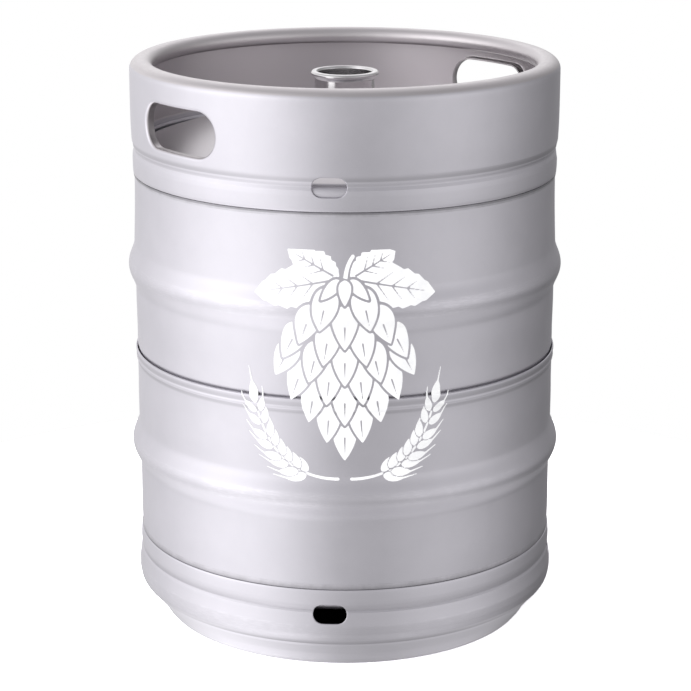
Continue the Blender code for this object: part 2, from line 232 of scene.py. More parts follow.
# ---- meshes ---------------------------------------------------------------------
class Turned:
    """An (r, z) outline turned about Z, as lists that patches can be added to."""

    def __init__(self, points, seg, closed=True, wobble=None):
        self.points, self.seg, self.closed = points, seg, closed
        self.verts, self.faces = [], []
        area = 0.0
        n = len(points)
        for i in range(n):
            r0, z0 = points[i]
            r1, z1 = points[(i + 1) % n]
            area += r0 * z1 - r1 * z0
        self.ccw = area > 0.0
        self.index = []
        for i, (r, z) in enumerate(points):
            if r < 1e-6:
                self.verts.append((0.0, 0.0, z))
                self.index.append([len(self.verts) - 1] * seg)
                continue
            row = []
            for j in range(seg):
                a = 2.0 * math.pi * j / seg
                rr, zz = (r, z) if wobble is None else wobble(i, r, z, a)
                self.verts.append((rr * math.sin(a), -rr * math.cos(a), zz))
                row.append(len(self.verts) - 1)
            self.index.append(row)

    def skin(self, skip=()):
        """Adds the quads, except those in skip, a set of (row, column)."""
        n = len(self.points)
        for i in range(n if self.closed else n - 1):
            a, b = self.index[i], self.index[(i + 1) % n]
            for j in range(self.seg):
                if (i, j) in skip:
                    continue
                k = (j + 1) % self.seg
                quad = [a[j], a[k], b[k], b[j]] if self.ccw else [a[j], b[j], b[k], a[k]]
                face = []
                for v in quad:
                    if v not in face:
                        face.append(v)
                if len(face) > 2:
                    self.faces.append(face)
        return self


def make(name, verts, faces, mat, sharp=42.0):
    mesh = bpy.data.meshes.new(name)
    mesh.from_pydata([(x * MM, y * MM, (z + BASE) * MM) for x, y, z in verts], [], faces)
    mesh.validate(verbose=False)
    mesh.update()
    mesh.shade_smooth()
    mesh.set_sharp_from_angle(angle=math.radians(sharp))
    if mat is not None:
        mesh.materials.append(mat)
    obj = bpy.data.objects.new(name, mesh)
    bpy.context.scene.collection.objects.link(obj)
    return obj


def turned(name, points, seg, mat, closed=True, wobble=None, sharp=42.0):
    t = Turned(points, seg, closed, wobble).skin()
    return make(name, t.verts, t.faces, mat, sharp)


def hole_patch(t, sheet, top_row, bottom_row, az, cols, zc, length, high, section, r_ref):
    """Fills the window left in rows top_row..bottom_row and +-cols columns round
    azimuth az with rings that run from the outer face, round the hole's lip as
    section says, to the inner face. section is a list of (outset, depth)."""
    seg = t.seg
    centre = int(round(az / 360.0 * seg))
    rad, half = high / 2.0, length / 2.0 - high / 2.0
    loop = [(top_row, c) for c in range(-cols, cols + 1)]
    loop += [(r, cols) for r in range(top_row + 1, bottom_row + 1)]
    loop += [(bottom_row, c) for c in range(cols - 1, -cols - 1, -1)]
    loop += [(r, -cols) for r in range(bottom_row - 1, top_row, -1)]
    first = max(0, top_row - 3)
    zs = np.array([p[1] for p in sheet.outer[first:bottom_row + 4]])[::-1]
    rs = np.array([p[0] for p in sheet.outer[first:bottom_row + 4]])[::-1]

    def surface(s, z, depth):
        a = math.radians(az) + s / r_ref
        r = float(np.interp(z, zs, rs)) - depth
        return (r * math.sin(a), -r * math.cos(a), z)

    step = 2.0 * math.pi / seg * r_ref
    outer_ids = [t.index[r][(centre + c) % seg] for r, c in loop]
    inner_ids = [t.index[sheet.inner_row(r)][(centre + c) % seg] for r, c in loop]
    outer_sz = [(c * step, sheet.outer[r][1]) for r, c in loop]
    inner_sz = [(c * step, sheet.inner[r][1]) for r, c in loop]
    inner_d = [float(np.interp(sheet.inner[r][1], zs, rs)) - sheet.inner[r][0] for r, c in loop]

    def spokes(sz):
        out = []
        for s, z in sz:
            q = max(-half, min(half, s))
            d = math.hypot(s - q, z - zc)
            out.append((q, (s - q) / d, (z - zc) / d, d))
        return out

    rings = [outer_ids]
    o_spokes, i_spokes = spokes(outer_sz), spokes(inner_sz)
    lip = rad + section[0][0]

    def add_ring(fn):
        ids = []
        for m in range(len(loop)):
            t.verts.append(fn(m))
            ids.append(len(t.verts) - 1)
        rings.append(ids)

    for f in (0.3, 0.6, 0.85):
        def blended(m, f=f):
            q, us, uz, d = o_spokes[m]
            dist = d * (1 - f) + lip * f
            return surface(q + us * dist, zc + uz * dist, 0.0)
        add_ring(blended)
    n_sec = len(section)
    for k, (e, depth) in enumerate(section):
        g = k / (n_sec - 1)

        def on_section(m, e=e, depth=depth, g=g):
            q, us, uz, _ = o_spokes[m]
            q2, us2, uz2, _ = i_spokes[m]
            u, v = us * (1 - g) + us2 * g, uz * (1 - g) + uz2 * g
            n = math.hypot(u, v)
            dist = rad + e
            return surface(q + u / n * dist, zc + v / n * dist, depth)
        add_ring(on_section)
    lip_in, depth_in = rad + section[-1][0], section[-1][1]
    for f in (0.2, 0.5, 0.8):
        def blended_in(m, f=f):
            q, us, uz, d = i_spokes[m]
            dist = lip_in * (1 - f) + d * f
            return surface(q + us * dist, zc + uz * dist, depth_in * (1 - f) + inner_d[m] * f)
        add_ring(blended_in)
    rings.append(inner_ids)
    count = len(loop)
    for a, b in zip(rings, rings[1:]):
        for m in range(count):
            n = (m + 1) % count
            t.faces.append([a[n], a[m], b[m], b[n]])


def window(sheet, top_row, bottom_row, az, cols, seg):
    centre = int(round(az / 360.0 * seg))
    skip = set()
    for c in range(-cols, cols):
        col = (centre + c) % seg
        for r in range(top_row, bottom_row):
            skip.add((r, col))
            skip.add((sheet.inner_row(r + 1), col))
    return skip


def rows_between(sheet, z_high, z_low):
    """First and last wall row whose heights lie between z_high and z_low."""
    rows = [i for i, p in enumerate(sheet.outer) if z_low - 1e-6 <= p[1] <= z_high + 1e-6 and p[0] > 194.0]
    return rows[0], rows[-1]


# ---- procedural materials ---------------------------------------------------------
class Graph:
    def __init__(self, name):
        self.mat = bpy.data.materials.new(name)
        self.mat.use_nodes = True
        self.nt = self.mat.node_tree
        self.bsdf = self.nt.nodes["Principled BSDF"]
        self.coord = self.nt.nodes.new("ShaderNodeTexCoord").outputs["Object"]

    def node(self, kind, **props):
        n = self.nt.nodes.new(kind)
        for k, v in props.items():
            setattr(n, k, v)
        return n

    def put(self, socket, value):
        if hasattr(value, "is_output") or hasattr(value, "links"):
            self.nt.links.new(value, socket)
        else:
            socket.default_value = value

    def math(self, op, a, b=0.0, c=None, clamp=False):
        n = self.node("ShaderNodeMath", operation=op, use_clamp=clamp)
        self.put(n.inputs[0], a)
        self.put(n.inputs[1], b)
        if c is not None:
            self.put(n.inputs[2], c)
        return n.outputs[0]

    def noise(self, scale, detail=2.0, rough=0.5, vector=None, distortion=0.0):
        n = self.node("ShaderNodeTexNoise")
        n.inputs["Scale"].default_value = scale
        n.inputs["Detail"].default_value = detail
        n.inputs["Roughness"].default_value = rough
        n.inputs["Distortion"].default_value = distortion
        self.nt.links.new(vector or self.coord, n.inputs["Vector"])
        return n.outputs["Fac"]

    def span(self, value, lo, hi, out_lo, out_hi):
        n = self.node("ShaderNodeMapRange")
        n.interpolation_type = "SMOOTHSTEP"
        self.put(n.inputs["Value"], value)
        n.inputs["From Min"].default_value = lo
        n.inputs["From Max"].default_value = hi
        n.inputs["To Min"].default_value = out_lo
        n.inputs["To Max"].default_value = out_hi
        return n.outputs["Result"]

    def xyz(self):
        n = self.node("ShaderNodeSeparateXYZ")
        self.nt.links.new(self.coord, n.inputs[0])
        return n.outputs

    def cylinder(self, around, along, out):
        """Vector (azimuth, height, radius), each times its own density."""
        x, y, z = self.xyz()
        a = self.math("ARCTAN2", x, self.math("MULTIPLY", y, -1.0))
        r = self.math("SQRT", self.math("ADD", self.math("MULTIPLY", x, x),
                                        self.math("MULTIPLY", y, y)))
        n = self.node("ShaderNodeCombineXYZ")
        self.put(n.inputs[0], self.math("MULTIPLY", a, around))
        self.put(n.inputs[1], self.math("MULTIPLY", z, along))
        self.put(n.inputs[2], self.math("MULTIPLY", r, out))
        return n.outputs[0], r, z

    def mix(self, fac, a, b):
        n = self.node("ShaderNodeMix", data_type="RGBA")
        self.put(n.inputs["Factor"], fac)
        sockets = [s for s in n.inputs if s.type == "RGBA"]
        for s, v in zip(sockets, (a, b)):
            if isinstance(v, tuple):
                s.default_value = (v[0], v[1], v[2], 1.0)
            else:
                self.nt.links.new(v, s)
        return [s for s in n.outputs if s.type == "RGBA"][0]

    def bump(self, height, strength, distance, normal=None):
        n = self.node("ShaderNodeBump")
        n.inputs["Strength"].default_value = strength
        n.inputs["Distance"].default_value = distance
        self.nt.links.new(height, n.inputs["Height"])
        if normal is not None:
            self.nt.links.new(normal, n.inputs["Normal"])
        return n.outputs["Normal"]

    def done(self, color=None, rough=None, normal=None, metallic=1.0, **fixed):
        b = self.bsdf.inputs
        b["Metallic"].default_value = metallic
        if color is not None:
            self.put(b["Base Color"], color)
        if rough is not None:
            self.put(b["Roughness"], rough)
        if normal is not None:
            self.put(b["Normal"], normal)
        for k, v in fixed.items():
            b[k.replace("_", " ")].default_value = v
        return self.mat


def satin_steel(name, light, dark, rough, wear_bands, line=0.35, crease_shade=(), inside=None):
    """Bead-blasted stainless sheet: fine grain, slow tone drift, faint turning
    lines from the roller, rubbed bands where the keg touches others, and painted
    shade in the laps, grooves, crevices and hand-hole flanges. wear_bands is a list
    of (lowest z, highest z, least radius) in mm; seams of (lowest z, highest z,
    least r, greatest r, fade below, fade above, strength, clear) are those bands
    of painted shade, where clear keeps one off the drain slots. inside is (colour,
    least r, greatest r, least z) of a recoloured area: on the chime a warm tint of
    the less polished inner side; on the vessel a lighter top dome, a painted
    highlight standing in for the light falling on it from above."""
    g = Graph(name)
    vec, r, z = g.cylinder(0.9, 420.0, 260.0)
    drift = g.noise(5.5, 3.0, 0.55)
    cloud = g.noise(38.0, 4.0, 0.6)
    grain = g.noise(1500.0, 2.0, 0.65)
    lines = g.noise(1.0, 3.0, 0.6, vector=vec)
    scuff_vec, _, _ = g.cylinder(26.0, 900.0, 300.0)
    scuff = g.noise(1.0, 2.0, 0.5, vector=scuff_vec, distortion=0.6)
    worn = None
    for z0, z1, r0 in wear_bands:
        band = g.math("MULTIPLY",
                      g.math("MULTIPLY", g.span(z, (z0 + BASE - 1.5) * MM, (z0 + BASE) * MM, 0.0, 1.0),
                             g.span(z, (z1 + BASE) * MM, (z1 + BASE + 1.5) * MM, 1.0, 0.0)),
                      g.span(r, (r0 - 0.5) * MM, r0 * MM, 0.0, 1.0))
        worn = band if worn is None else g.math("MAXIMUM", worn, band)
    worn = g.math("MULTIPLY", worn, g.span(cloud, 0.35, 0.62, 0.25, 1.0))
    rubbed = g.math("MULTIPLY", worn, g.span(scuff, 0.46, 0.60, 0.0, 1.0))
    tone = g.math("ADD", g.math("MULTIPLY", drift, 0.5), g.math("MULTIPLY", cloud, 0.3))
    tone = g.math("ADD", tone, g.math("MULTIPLY", grain, 0.2))
    color = g.mix(g.span(tone, 0.36, 0.64, 0.0, 1.0), dark, light)
    color = g.mix(g.math("MULTIPLY", rubbed, 0.35), color,
                  tuple(min(1.0, c * 1.10) for c in light))
    # On the vessel the inside colour is a painted highlight: it makes the top dome lighter, standing in for the
    # light from above. On the chime it is a warm tint of the inner side.
    if inside:
        shade, r0, r1, z0 = inside
        inner = g.math("MULTIPLY", g.span(r, r0 * MM, r1 * MM, 1.0, 0.0),
                       g.span(z, (z0 + BASE - 2.0) * MM, (z0 + BASE) * MM, 0.0, 1.0))
        color = g.mix(g.math("MULTIPLY", inner, g.span(tone, 0.36, 0.64, 0.88, 1.0)), color, shade)
    # Painted shade: each band below darkens the colour towards near black in a lap, groove, crevice or flange
    # recess where shade falls.
    for z0, z1, r0, r1, under, over, strength, clear in crease_shade:
        crease_shade_mask = g.math("MULTIPLY", g.span(z, (z0 + BASE - under) * MM, (z0 + BASE) * MM, 0.0, 1.0),
                       g.span(z, (z1 + BASE) * MM, (z1 + BASE + over) * MM, 1.0, 0.0))
        crease_shade_mask = g.math("MULTIPLY", crease_shade_mask, g.span(r, (r0 - 1.5) * MM, r0 * MM, 0.0, 1.0))
        crease_shade_mask = g.math("MULTIPLY", crease_shade_mask, g.span(r, r1 * MM, (r1 + 0.3) * MM, 1.0, 0.0))
        if clear:
            x, y, _ = g.xyz()
            off = g.math("MINIMUM", g.math("ABSOLUTE", x), g.math("ABSOLUTE", y))
            crease_shade_mask = g.math("MULTIPLY", crease_shade_mask, g.span(off, 0.020, 0.032, 0.0, 1.0))
        crease_shade_mask = g.math("MULTIPLY", crease_shade_mask, g.span(cloud, 0.30, 0.60, strength * 0.85, strength))
        color = g.mix(crease_shade_mask, color, (0.030, 0.028, 0.030))
    rg = g.math("ADD", rough - 0.045, g.math("MULTIPLY", grain, 0.05))
    rg = g.math("ADD", rg, g.math("MULTIPLY", cloud, 0.04))
    rg = g.math("SUBTRACT", rg, g.math("MULTIPLY", worn, 0.03))
    rg = g.math("SUBTRACT", rg, g.math("MULTIPLY", rubbed, 0.07), clamp=True)
    normal = g.bump(grain, 0.10, 0.00006)
    normal = g.bump(lines, line * 0.12, 0.00005, normal)
    normal = g.bump(scuff_bump(g, rubbed), 0.10, 0.00004, normal)
    return g.done(color, rg, normal)


def scuff_bump(g, rubbed):
    return g.math("MULTIPLY", rubbed, -1.0)


def weld_steel(name):
    g = Graph(name)
    vec, r, z = g.cylinder(480.0, 90.0, 90.0)
    ripple = g.noise(1.0, 2.0, 0.5, vector=vec)
    cloud = g.noise(60.0, 3.0, 0.6)
    grain = g.noise(1700.0, 2.0, 0.6)
    color = g.mix(g.span(cloud, 0.35, 0.65, 0.0, 1.0), (0.55, 0.536, 0.576), (0.62, 0.603, 0.65))
    # Painted shade: the bead goes near black where it lies in the crevice under the top chime's edge and, less so,
    # above the foot's edge.
    top = g.math("MULTIPLY", g.span(z, (418.9 + BASE) * MM, (420.5 + BASE) * MM, 0.0, 1.0),
                 g.span(z, (423.0 + BASE) * MM, (424.0 + BASE) * MM, 1.0, 0.0))
    low = g.math("MULTIPLY", g.span(z, (76.3 + BASE) * MM, (80.9 + BASE) * MM, 1.0, 0.0),
                 g.span(z, (74.0 + BASE) * MM, (75.0 + BASE) * MM, 0.0, 1.0))
    crevice_shade = g.math("ADD", g.math("MULTIPLY", top, 0.50), g.math("MULTIPLY", low, 0.34))
    color = g.mix(crevice_shade, color,
                  (0.060, 0.057, 0.062))
    rg = g.math("ADD", 0.36, g.math("MULTIPLY", grain, 0.14))
    normal = g.bump(ripple, 0.25, 0.0001)
    normal = g.bump(grain, 0.12, 0.00005, normal)
    return g.done(color, rg, normal)


def turned_steel(name, light, dark, rough, pitch, bump):
    """Lathe-turned or drawn stainless: fine rings round the axis."""
    g = Graph(name)
    vec, r, z = g.cylinder(0.6, pitch, pitch)
    rings = g.noise(1.0, 2.0, 0.7, vector=vec)
    hair_vec, _, _ = g.cylinder(7.0, 2600.0, 2600.0)
    hair = g.noise(1.0, 1.0, 0.5, vector=hair_vec)
    cloud = g.noise(90.0, 3.0, 0.6)
    color = g.mix(g.span(g.math("ADD", g.math("MULTIPLY", cloud, 0.6),
                                g.math("MULTIPLY", rings, 0.4)), 0.35, 0.65, 0.0, 1.0),
                  dark, light)
    rg = g.math("ADD", rough - 0.04, g.math("MULTIPLY", hair, 0.05))
    rg = g.math("ADD", rg, g.math("MULTIPLY", cloud, 0.04))
    normal = g.bump(rings, bump, 0.00004)
    normal = g.bump(hair, bump * 0.5, 0.00002, normal)
    return g.done(color, rg, normal)


def black_rubber(name):
    g = Graph(name)
    grain = g.noise(1300.0, 3.0, 0.6)
    bloom = g.noise(120.0, 4.0, 0.65)
    color = g.mix(g.span(bloom, 0.40, 0.72, 0.0, 1.0), (0.018, 0.018, 0.019), (0.045, 0.045, 0.047))
    rg = g.math("ADD", 0.46, g.math("MULTIPLY", grain, 0.22))
    return g.done(color, rg, g.bump(grain, 0.25, 0.00008), metallic=0.0)


def white_ink(name):
    """Screen-printed ink: slightly uneven film with a soft sheen."""
    g = Graph(name)
    grain = g.noise(1400.0, 2.0, 0.6)
    film = g.noise(55.0, 4.0, 0.6)
    color = g.mix(g.span(film, 0.38, 0.66, 0.0, 1.0), (0.90, 0.90, 0.915), (0.965, 0.965, 0.97))
    rg = g.math("ADD", 0.40, g.math("MULTIPLY", grain, 0.16))
    return g.done(color, rg, g.bump(grain, 0.12, 0.00004), metallic=0.0)


BODY_WEAR = [(HOOP_TOP_Z - 9, HOOP_TOP_Z + 9, 202.6), (HOOP_BOT_Z - 9, HOOP_BOT_Z + 9, 202.8)]
# Painted shade and light on the vessel sheet: the seams bands darken the joint line, the bell and its lower edge at
# the mid lap, and paint a near-black ring in the crevice where the top dome meets the chime. The inside colour
# paints the top dome lighter, a painted highlight for the light from above.
satin = satin_steel("satin_stainless_sheet", (0.640, 0.622, 0.672), (0.600, 0.584, 0.632), 0.42,
                    BODY_WEAR, crease_shade=[(254.2, 256.0, 195.0, 197.2, 0.4, 1.2, 0.12, False),
                                      (247.6, 250.0, 195.0, 201.0, 0.6, 3.0, 0.17, False),
                                      (242.0, 243.4, 195.0, 201.0, 2.6, 1.2, 0.22, False),
                                      (425.0, 448.0, 189.6, 195.5, 1.0, 1.0, 0.88, True)],
                    inside=((0.74, 0.706, 0.732), 188.5, 190.0, 432.0))
# Painted shade on the chimes: the seams bands darken the grooves at the top and foot slots, the foot's waist, the
# crevice inside the top chime above the dome, and the hand-hole flanges. The inside colour is a warm tint of the
# inner side.
chime_steel = satin_steel("chime_stainless_sheet", (0.640, 0.622, 0.672), (0.600, 0.584, 0.632),
                          0.40, [(522.0, 528.0, 182.0), (-6.0, 0.0, 170.0), (28.0, 42.0, 199.2)],
                          crease_shade=[(448.7, 449.8, 196.5, 201.0, 0.6, 4.0, 0.22, False),
                                 (444.6, 446.2, 195.0, 201.0, 1.2, 1.0, 0.10, False),
                                 (56.0, 57.4, 195.0, 201.0, 0.6, 6.0, 0.18, False),
                                 (22.0, 24.0, 185.0, 201.0, 1.0, 8.0, 0.22, False),
                                 (424.0, 437.5, 190.0, 196.7, 1.0, 3.0, 0.82, True),
                                 (464.0, 497.0, 180.0, 196.6, 4.0, 4.0, 0.42, False)],
                          inside=((0.636, 0.600, 0.618), 197.3, 198.3, 453.0))
weld = weld_steel("weld_stainless_bead")
polished = turned_steel("polished_stainless_neck", (0.74, 0.725, 0.735), (0.66, 0.645, 0.66),
                        0.16, 900.0, 0.16)
machined = turned_steel("machined_stainless_valve", (0.70, 0.685, 0.69), (0.60, 0.59, 0.60),
                        0.25, 1500.0, 0.22)
drawn = turned_steel("spring_stainless_wire", (0.62, 0.61, 0.62), (0.50, 0.495, 0.51),
                     0.30, 700.0, 0.12)
ball_steel = turned_steel("ball_stainless_polished", (0.78, 0.775, 0.78), (0.72, 0.715, 0.725),
                          0.09, 350.0, 0.05)
rubber = black_rubber("seal_rubber_black")
ink = white_ink("print_ink_white")


def settle(obj, body, node):
    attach(obj, body)
    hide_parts(node)
    return obj


# ---- vessel -------------------------------------------------------------------------
crown_top = 435.5 + knuckle(0.0, 1.0, 2)[0][1] + DOME_RISE
crown_bot = 64.5 + knuckle(0.0, -1.0, 2)[0][1] - DOME_RISE

upper_wall = smooth([(196.32, 418.4), (196.42, 408.0), (196.62, 396.0), (196.95, 384.0),
                     (197.42, 371.0), (198.0, HOOP_TOP_Z + HOOP_HALF)], 5.0)
upper = [(28.4, dome_z(28.4, crown_top, 1.0))]
upper += [(r, dome_z(r, crown_top, 1.0)) for r in np.linspace(28.4, DOME_EDGE_R, 26)[1:-1]]
upper += knuckle(435.5, 1.0)
upper += [(LAP_R, 430.0), (LAP_R, 424.4)]
upper += rounded([(LAP_R, 424.0), (LAP_R, 422.0, 4.0), (196.32, 418.9, 4.0), (196.32, 418.4)])[1:-1]
upper += upper_wall
upper += hoop(HOOP_TOP_Z, HOOP_TOP_R, 198.0, 197.4)[1:]
upper += smooth([(197.4, HOOP_TOP_Z - HOOP_HALF), (197.42, 300.0), (197.25, 288.0),
                 (197.02, 274.0), (197.1, 262.0)], 5.0)[1:]
upper += rounded([(197.1, 262.0), (197.12, 258.0, 1.6), (196.2, 255.2, 1.6), (196.2, 240.0)])[1:-1]
upper += [(196.2, 249.9), (196.2, 244.9), (196.2, 239.9)]
upper_sheet = Sheet(upper, SHELL_T)
settle(turned("upper_shell_sheet", upper_sheet.points, SEG, satin), "vessel", "upper_shell")

lower = rounded([(197.9, 254.5), (198.75, 254.1, 0.7), (198.9, 252.6, 1.2), (198.0, 247.9, 0.8),
                 (198.55, 246.3, 0.7), (198.45, 245.0, 0.9), (197.3, 242.2, 1.6), (197.2, 236.0, 3.0),
                 (197.2, 223.0)])
lower = lower[:-1] + smooth([(197.2, 223.0), (197.4, 212.0), (197.46, 202.0),
                             (197.42, 192.0), (197.4, HOOP_BOT_Z + HOOP_HALF)], 5.0)
lower += hoop(HOOP_BOT_Z, HOOP_BOT_R, 197.4, 196.7)[1:]
lower += smooth([(196.7, HOOP_BOT_Z - HOOP_HALF), (196.62, 128.0), (196.68, 112.0), (196.8, 98.0),
                 (196.62, 86.0), (196.45, 81.0)], 5.0)[1:]
lower += rounded([(196.45, 81.0), (196.42, 79.6, 4.0), (LAP_R, 76.6, 4.0), (LAP_R, 74.0)])[1:]
lower += knuckle(64.5, -1.0)[::-1]
lower += [(r, dome_z(r, crown_bot, -1.0)) for r in np.linspace(DOME_EDGE_R, 44.0, 22)[1:]]
lower += smooth([(44.0, dome_z(44.0, crown_bot, -1.0)), (38.0, crown_bot - 0.3),
                 (31.0, crown_bot - 3.2), (22.0, crown_bot - 3.9), (0.0, crown_bot - 4.0)], 3.0)[1:]
lower[-1] = (0.0, lower[-1][1])
inner_line = offset_line(lower, SHELL_T)
inner_line[-1] = (0.0, lower[-1][1] + SHELL_T)
cap = end_cap(inner_line[0], lower[0], (0.0, 1.0), 0.5, 5)
profile = lower[::-1] + cap[::-1] + inner_line
settle(turned("lower_shell_sheet", profile, SEG, satin, closed=False), "vessel", "lower_shell")

settle(turned("girth_weld_bead",
              rounded([(195.12, 239.0), (196.2, 239.0, 0.25), (196.1, 237.3, 0.6),
                       (195.3, 237.9, 0.5), (195.12, 238.5)]), SEG, weld), "vessel",
       "girth_weld")


# ---- chimes --------------------------------------------------------------------------
def flange_section(rho, depth, t):
    """Hand hole edge: rounded over with radius rho and turned straight in."""
    sec = []
    for k in range(10):
        a = math.pi / 2 * k / 9
        sec.append((rho * (1 - math.sin(a)), rho * (1 - math.cos(a))))
    sec.append((0.0, 0.5 * (rho + depth - 0.5)))
    for k in range(5):
        a = math.pi / 2 * k / 4
        sec.append((0.5 * (1 - math.cos(a)), depth - 0.5 + 0.5 * math.sin(a)))
    for k in range(5):
        a = math.pi / 2 * k / 4
        sec.append((t - 0.5 + 0.5 * math.sin(a), depth - 0.5 + 0.5 * math.cos(a)))
    ri = max(rho - t, 1.0)
    for k in range(7):
        a = math.pi / 2 * k / 6
        sec.append((t + ri - ri * math.cos(a), t + ri - ri * math.sin(a)))
    return sec


def slot_section(rho, t):
    """Punched slot: broken edges and a plain cut through the sheet."""
    sec = []
    for k in range(5):
        a = math.pi / 2 * k / 4
        sec.append((rho * (1 - math.sin(a)), rho * (1 - math.cos(a))))
    for k in range(5):
        a = math.pi / 2 * k / 4
        sec.append((rho * (1 - math.cos(a)), t - rho * (1 - math.sin(a))))
    return sec


curl = rounded([(184.3, 511.8), (181.0, 512.3, 1.0), (179.6, 513.2)])[:-1]
curl += ellipse(186.2, HEIGHT - 8.6, 8.7, 8.6, 212.0, 90.0, 26)
curl += ellipse(187.8, HEIGHT - 9.6, 11.2, 9.6, 90.0, 4.0, 24)[1:]
wall = smooth([(199.0, 515.0), (199.03, 508.5), (199.05, 498.0), (199.04, 486.0), (199.0, 477.0),
               (198.85, 467.0), (198.5, 457.0)], 3.6)
wall += rounded([(198.5, 457.0), (198.35, 453.2, 3.0), (197.3, 448.7, 0.9), (197.2, 447.4, 0.7),
                 (196.1, 445.3, 0.9), (196.05, 443.4, 1.0), (197.5, 440.4, 1.4), (197.8, 435.8, 4.0),
                 (197.75, 430.0)], 9.0)[1:]
wall += [(197.7, 427.0), (197.4, 422.5)]
wall = dense(wall, 3.4)
top_sheet = Sheet(curl + wall, CHIME_T)
t = Turned(top_sheet.points, SEG)
hand_rows = rows_between(top_sheet, 511.0, 453.2)
slot_rows = rows_between(top_sheet, 455.8, 430.6)
skip = set()
for az in HAND_AZ:
    skip |= window(top_sheet, *hand_rows, az, 14, SEG)
for az in SLOT_AZ:
    skip |= window(top_sheet, *slot_rows, az, 4, SEG)
t.skin(skip)
for az in HAND_AZ:
    hole_patch(t, top_sheet, *hand_rows, az, 14, HAND_Z, HAND_LEN, HAND_HIGH,
               flange_section(3.0, 8.0, CHIME_T), 199.2)
for az in SLOT_AZ:
    hole_patch(t, top_sheet, *slot_rows, az, 4, SLOT_TOP_Z, SLOT_LEN, SLOT_HIGH,
               slot_section(0.55, CHIME_T), 197.6)
settle(make("top_chime_rolled", t.verts, t.faces, chime_steel), "vessel", "top_chime")

foot = rounded([(197.4, 75.5), (197.75, 71.5), (198.05, 64.5, 8.0), (197.75, 59.6, 4.0),
                (196.75, 56.2, 0.7), (198.2, 54.1, 0.9), (198.9, 48.0, 6.0), (199.85, 41.0, 14.0),
                (199.95, 33.8, 9.0), (198.8, 27.4, 6.0), (196.2, 24.0, 4.0), (193.1, 22.2, 1.3),
                (191.8, 19.2, 3.0)], 8.0)
foot = dense(foot[:-1], 3.0) + smooth([(191.9, 19.6), (189.2, 16.4), (185.6, 12.0), (182.6, 8.2),
                                       (179.9, 4.0), (177.4, -0.2), (175.4, -2.7)], 2.0)
foot += rounded([(175.4, -2.7), (173.5, -BASE, 1.6), (167.4, -BASE, 2.6), (164.5, -1.8, 3.0),
                 (163.9, 3.4, 3.0), (166.9, 7.8)], 10.0)[1:]
foot_sheet = Sheet(foot, CHIME_T)
t = Turned(foot_sheet.points, SEG)
foot_rows = rows_between(foot_sheet, 66.5, 39.0)
skip = set()
for az in SLOT_AZ:
    skip |= window(foot_sheet, *foot_rows, az, 4, SEG)
t.skin(skip)
for az in SLOT_AZ:
    hole_patch(t, foot_sheet, *foot_rows, az, 4, SLOT_BOT_Z, SLOT_LEN, SLOT_HIGH,
               slot_section(0.55, CHIME_T), 198.6)
settle(make("bottom_chime_rolled", t.verts, t.faces, chime_steel), "vessel", "bottom_chime")


def ripple(amount, pitch, radius):
    count = round(2 * math.pi * radius / pitch)

    def move(i, r, z, a):
        k = 0.5 + 0.5 * math.sin(count * a + 0.8 * math.sin(7 * a) + 0.4 * i)
        return r + amount * (k - 0.5), z
    return move


top_weld = rounded([(195.5, 421.5), (196.9, 421.5, 0.4), (197.1, 420.6, 0.6), (196.75, 419.0, 1.2),
                    (196.42, 417.6), (196.36, 417.9), (196.2, 420.0), (195.5, 421.2)])
settle(turned("top_chime_weld_bead", top_weld, 576, weld, wobble=ripple(0.08, 3.4, 196.0)),
       "vessel", "top_chime_weld")
bot_weld = rounded([(195.5, 76.0), (196.7, 76.0, 0.3), (196.8, 76.8, 0.5), (196.6, 78.8, 1.2),
                    (196.50, 80.9), (196.45, 80.5), (196.1, 78.2), (195.5, 76.4)])
settle(turned("bottom_chime_weld_bead", bot_weld, 576, weld, wobble=ripple(0.08, 3.4, 196.0)),
       "vessel", "bottom_chime_weld")


# ---- neck and valve -----------------------------------------------------------------------
neck = rounded([(26.4, 513.0), (30.3, 513.0, 1.0), (31.65, 511.6, 1.2), (31.65, 509.9, 1.3),
                (29.9, 508.6, 1.2), (28.0, 506.6, 1.6), (28.0, 468.0, 0.4), (21.6, 468.0, 0.4),
                (21.6, 486.0, 0.4), (25.25, 486.0, 0.2), (25.25, 494.1, 0.15), (26.45, 494.1, 0.1),
                (26.45, 496.4, 0.1), (25.25, 496.4, 0.15), (25.25, 511.2, 1.0), (26.4, 513.0)],
               10.0)[:-1]
settle(turned("neck_polished", neck, SEG_NECK, polished), "vessel", "neck")
z_hole = dome_z(28.4, crown_top, 1.0)
settle(turned("neck_weld_bead",
              rounded([(28.3, z_hole + 0.3), (28.3, z_hole + 3.4), (29.2, z_hole + 3.4, 0.5),
                       (30.4, z_hole + 2.4, 1.2), (32.3, z_hole + 0.35, 0.2)]), 288, weld,
              wobble=ripple(0.12, 2.6, 30.0)), "vessel", "neck_weld")

# Valve body: collar with two bayonet lugs. The lugs widen the collar's bore line
# inwards over 64 degrees at the front and the back.
collar = rounded([(24.9, 488.65, 0.2), (24.9, 493.75, 0.35), (20.4, 493.75, 0.3),
                  (20.4, 493.2, 0.05), (20.4, 490.9, 0.05), (20.4, 488.4, 0.3), (15.0, 486.4, 0.3),
                  (15.0, 484.0, 0.15), (18.95, 484.0, 0.2), (18.95, 476.0, 0.2), (21.2, 476.0, 0.2),
                  (21.2, 488.65, 0.2), (24.9, 488.65)], 15.0)[:-1]


def lug_depth(a):
    d = min(abs(math.degrees(a)) % 180.0, 180.0 - abs(math.degrees(a)) % 180.0)
    return 2.8 * max(0.0, min(1.0, (33.0 - d) / 2.0))


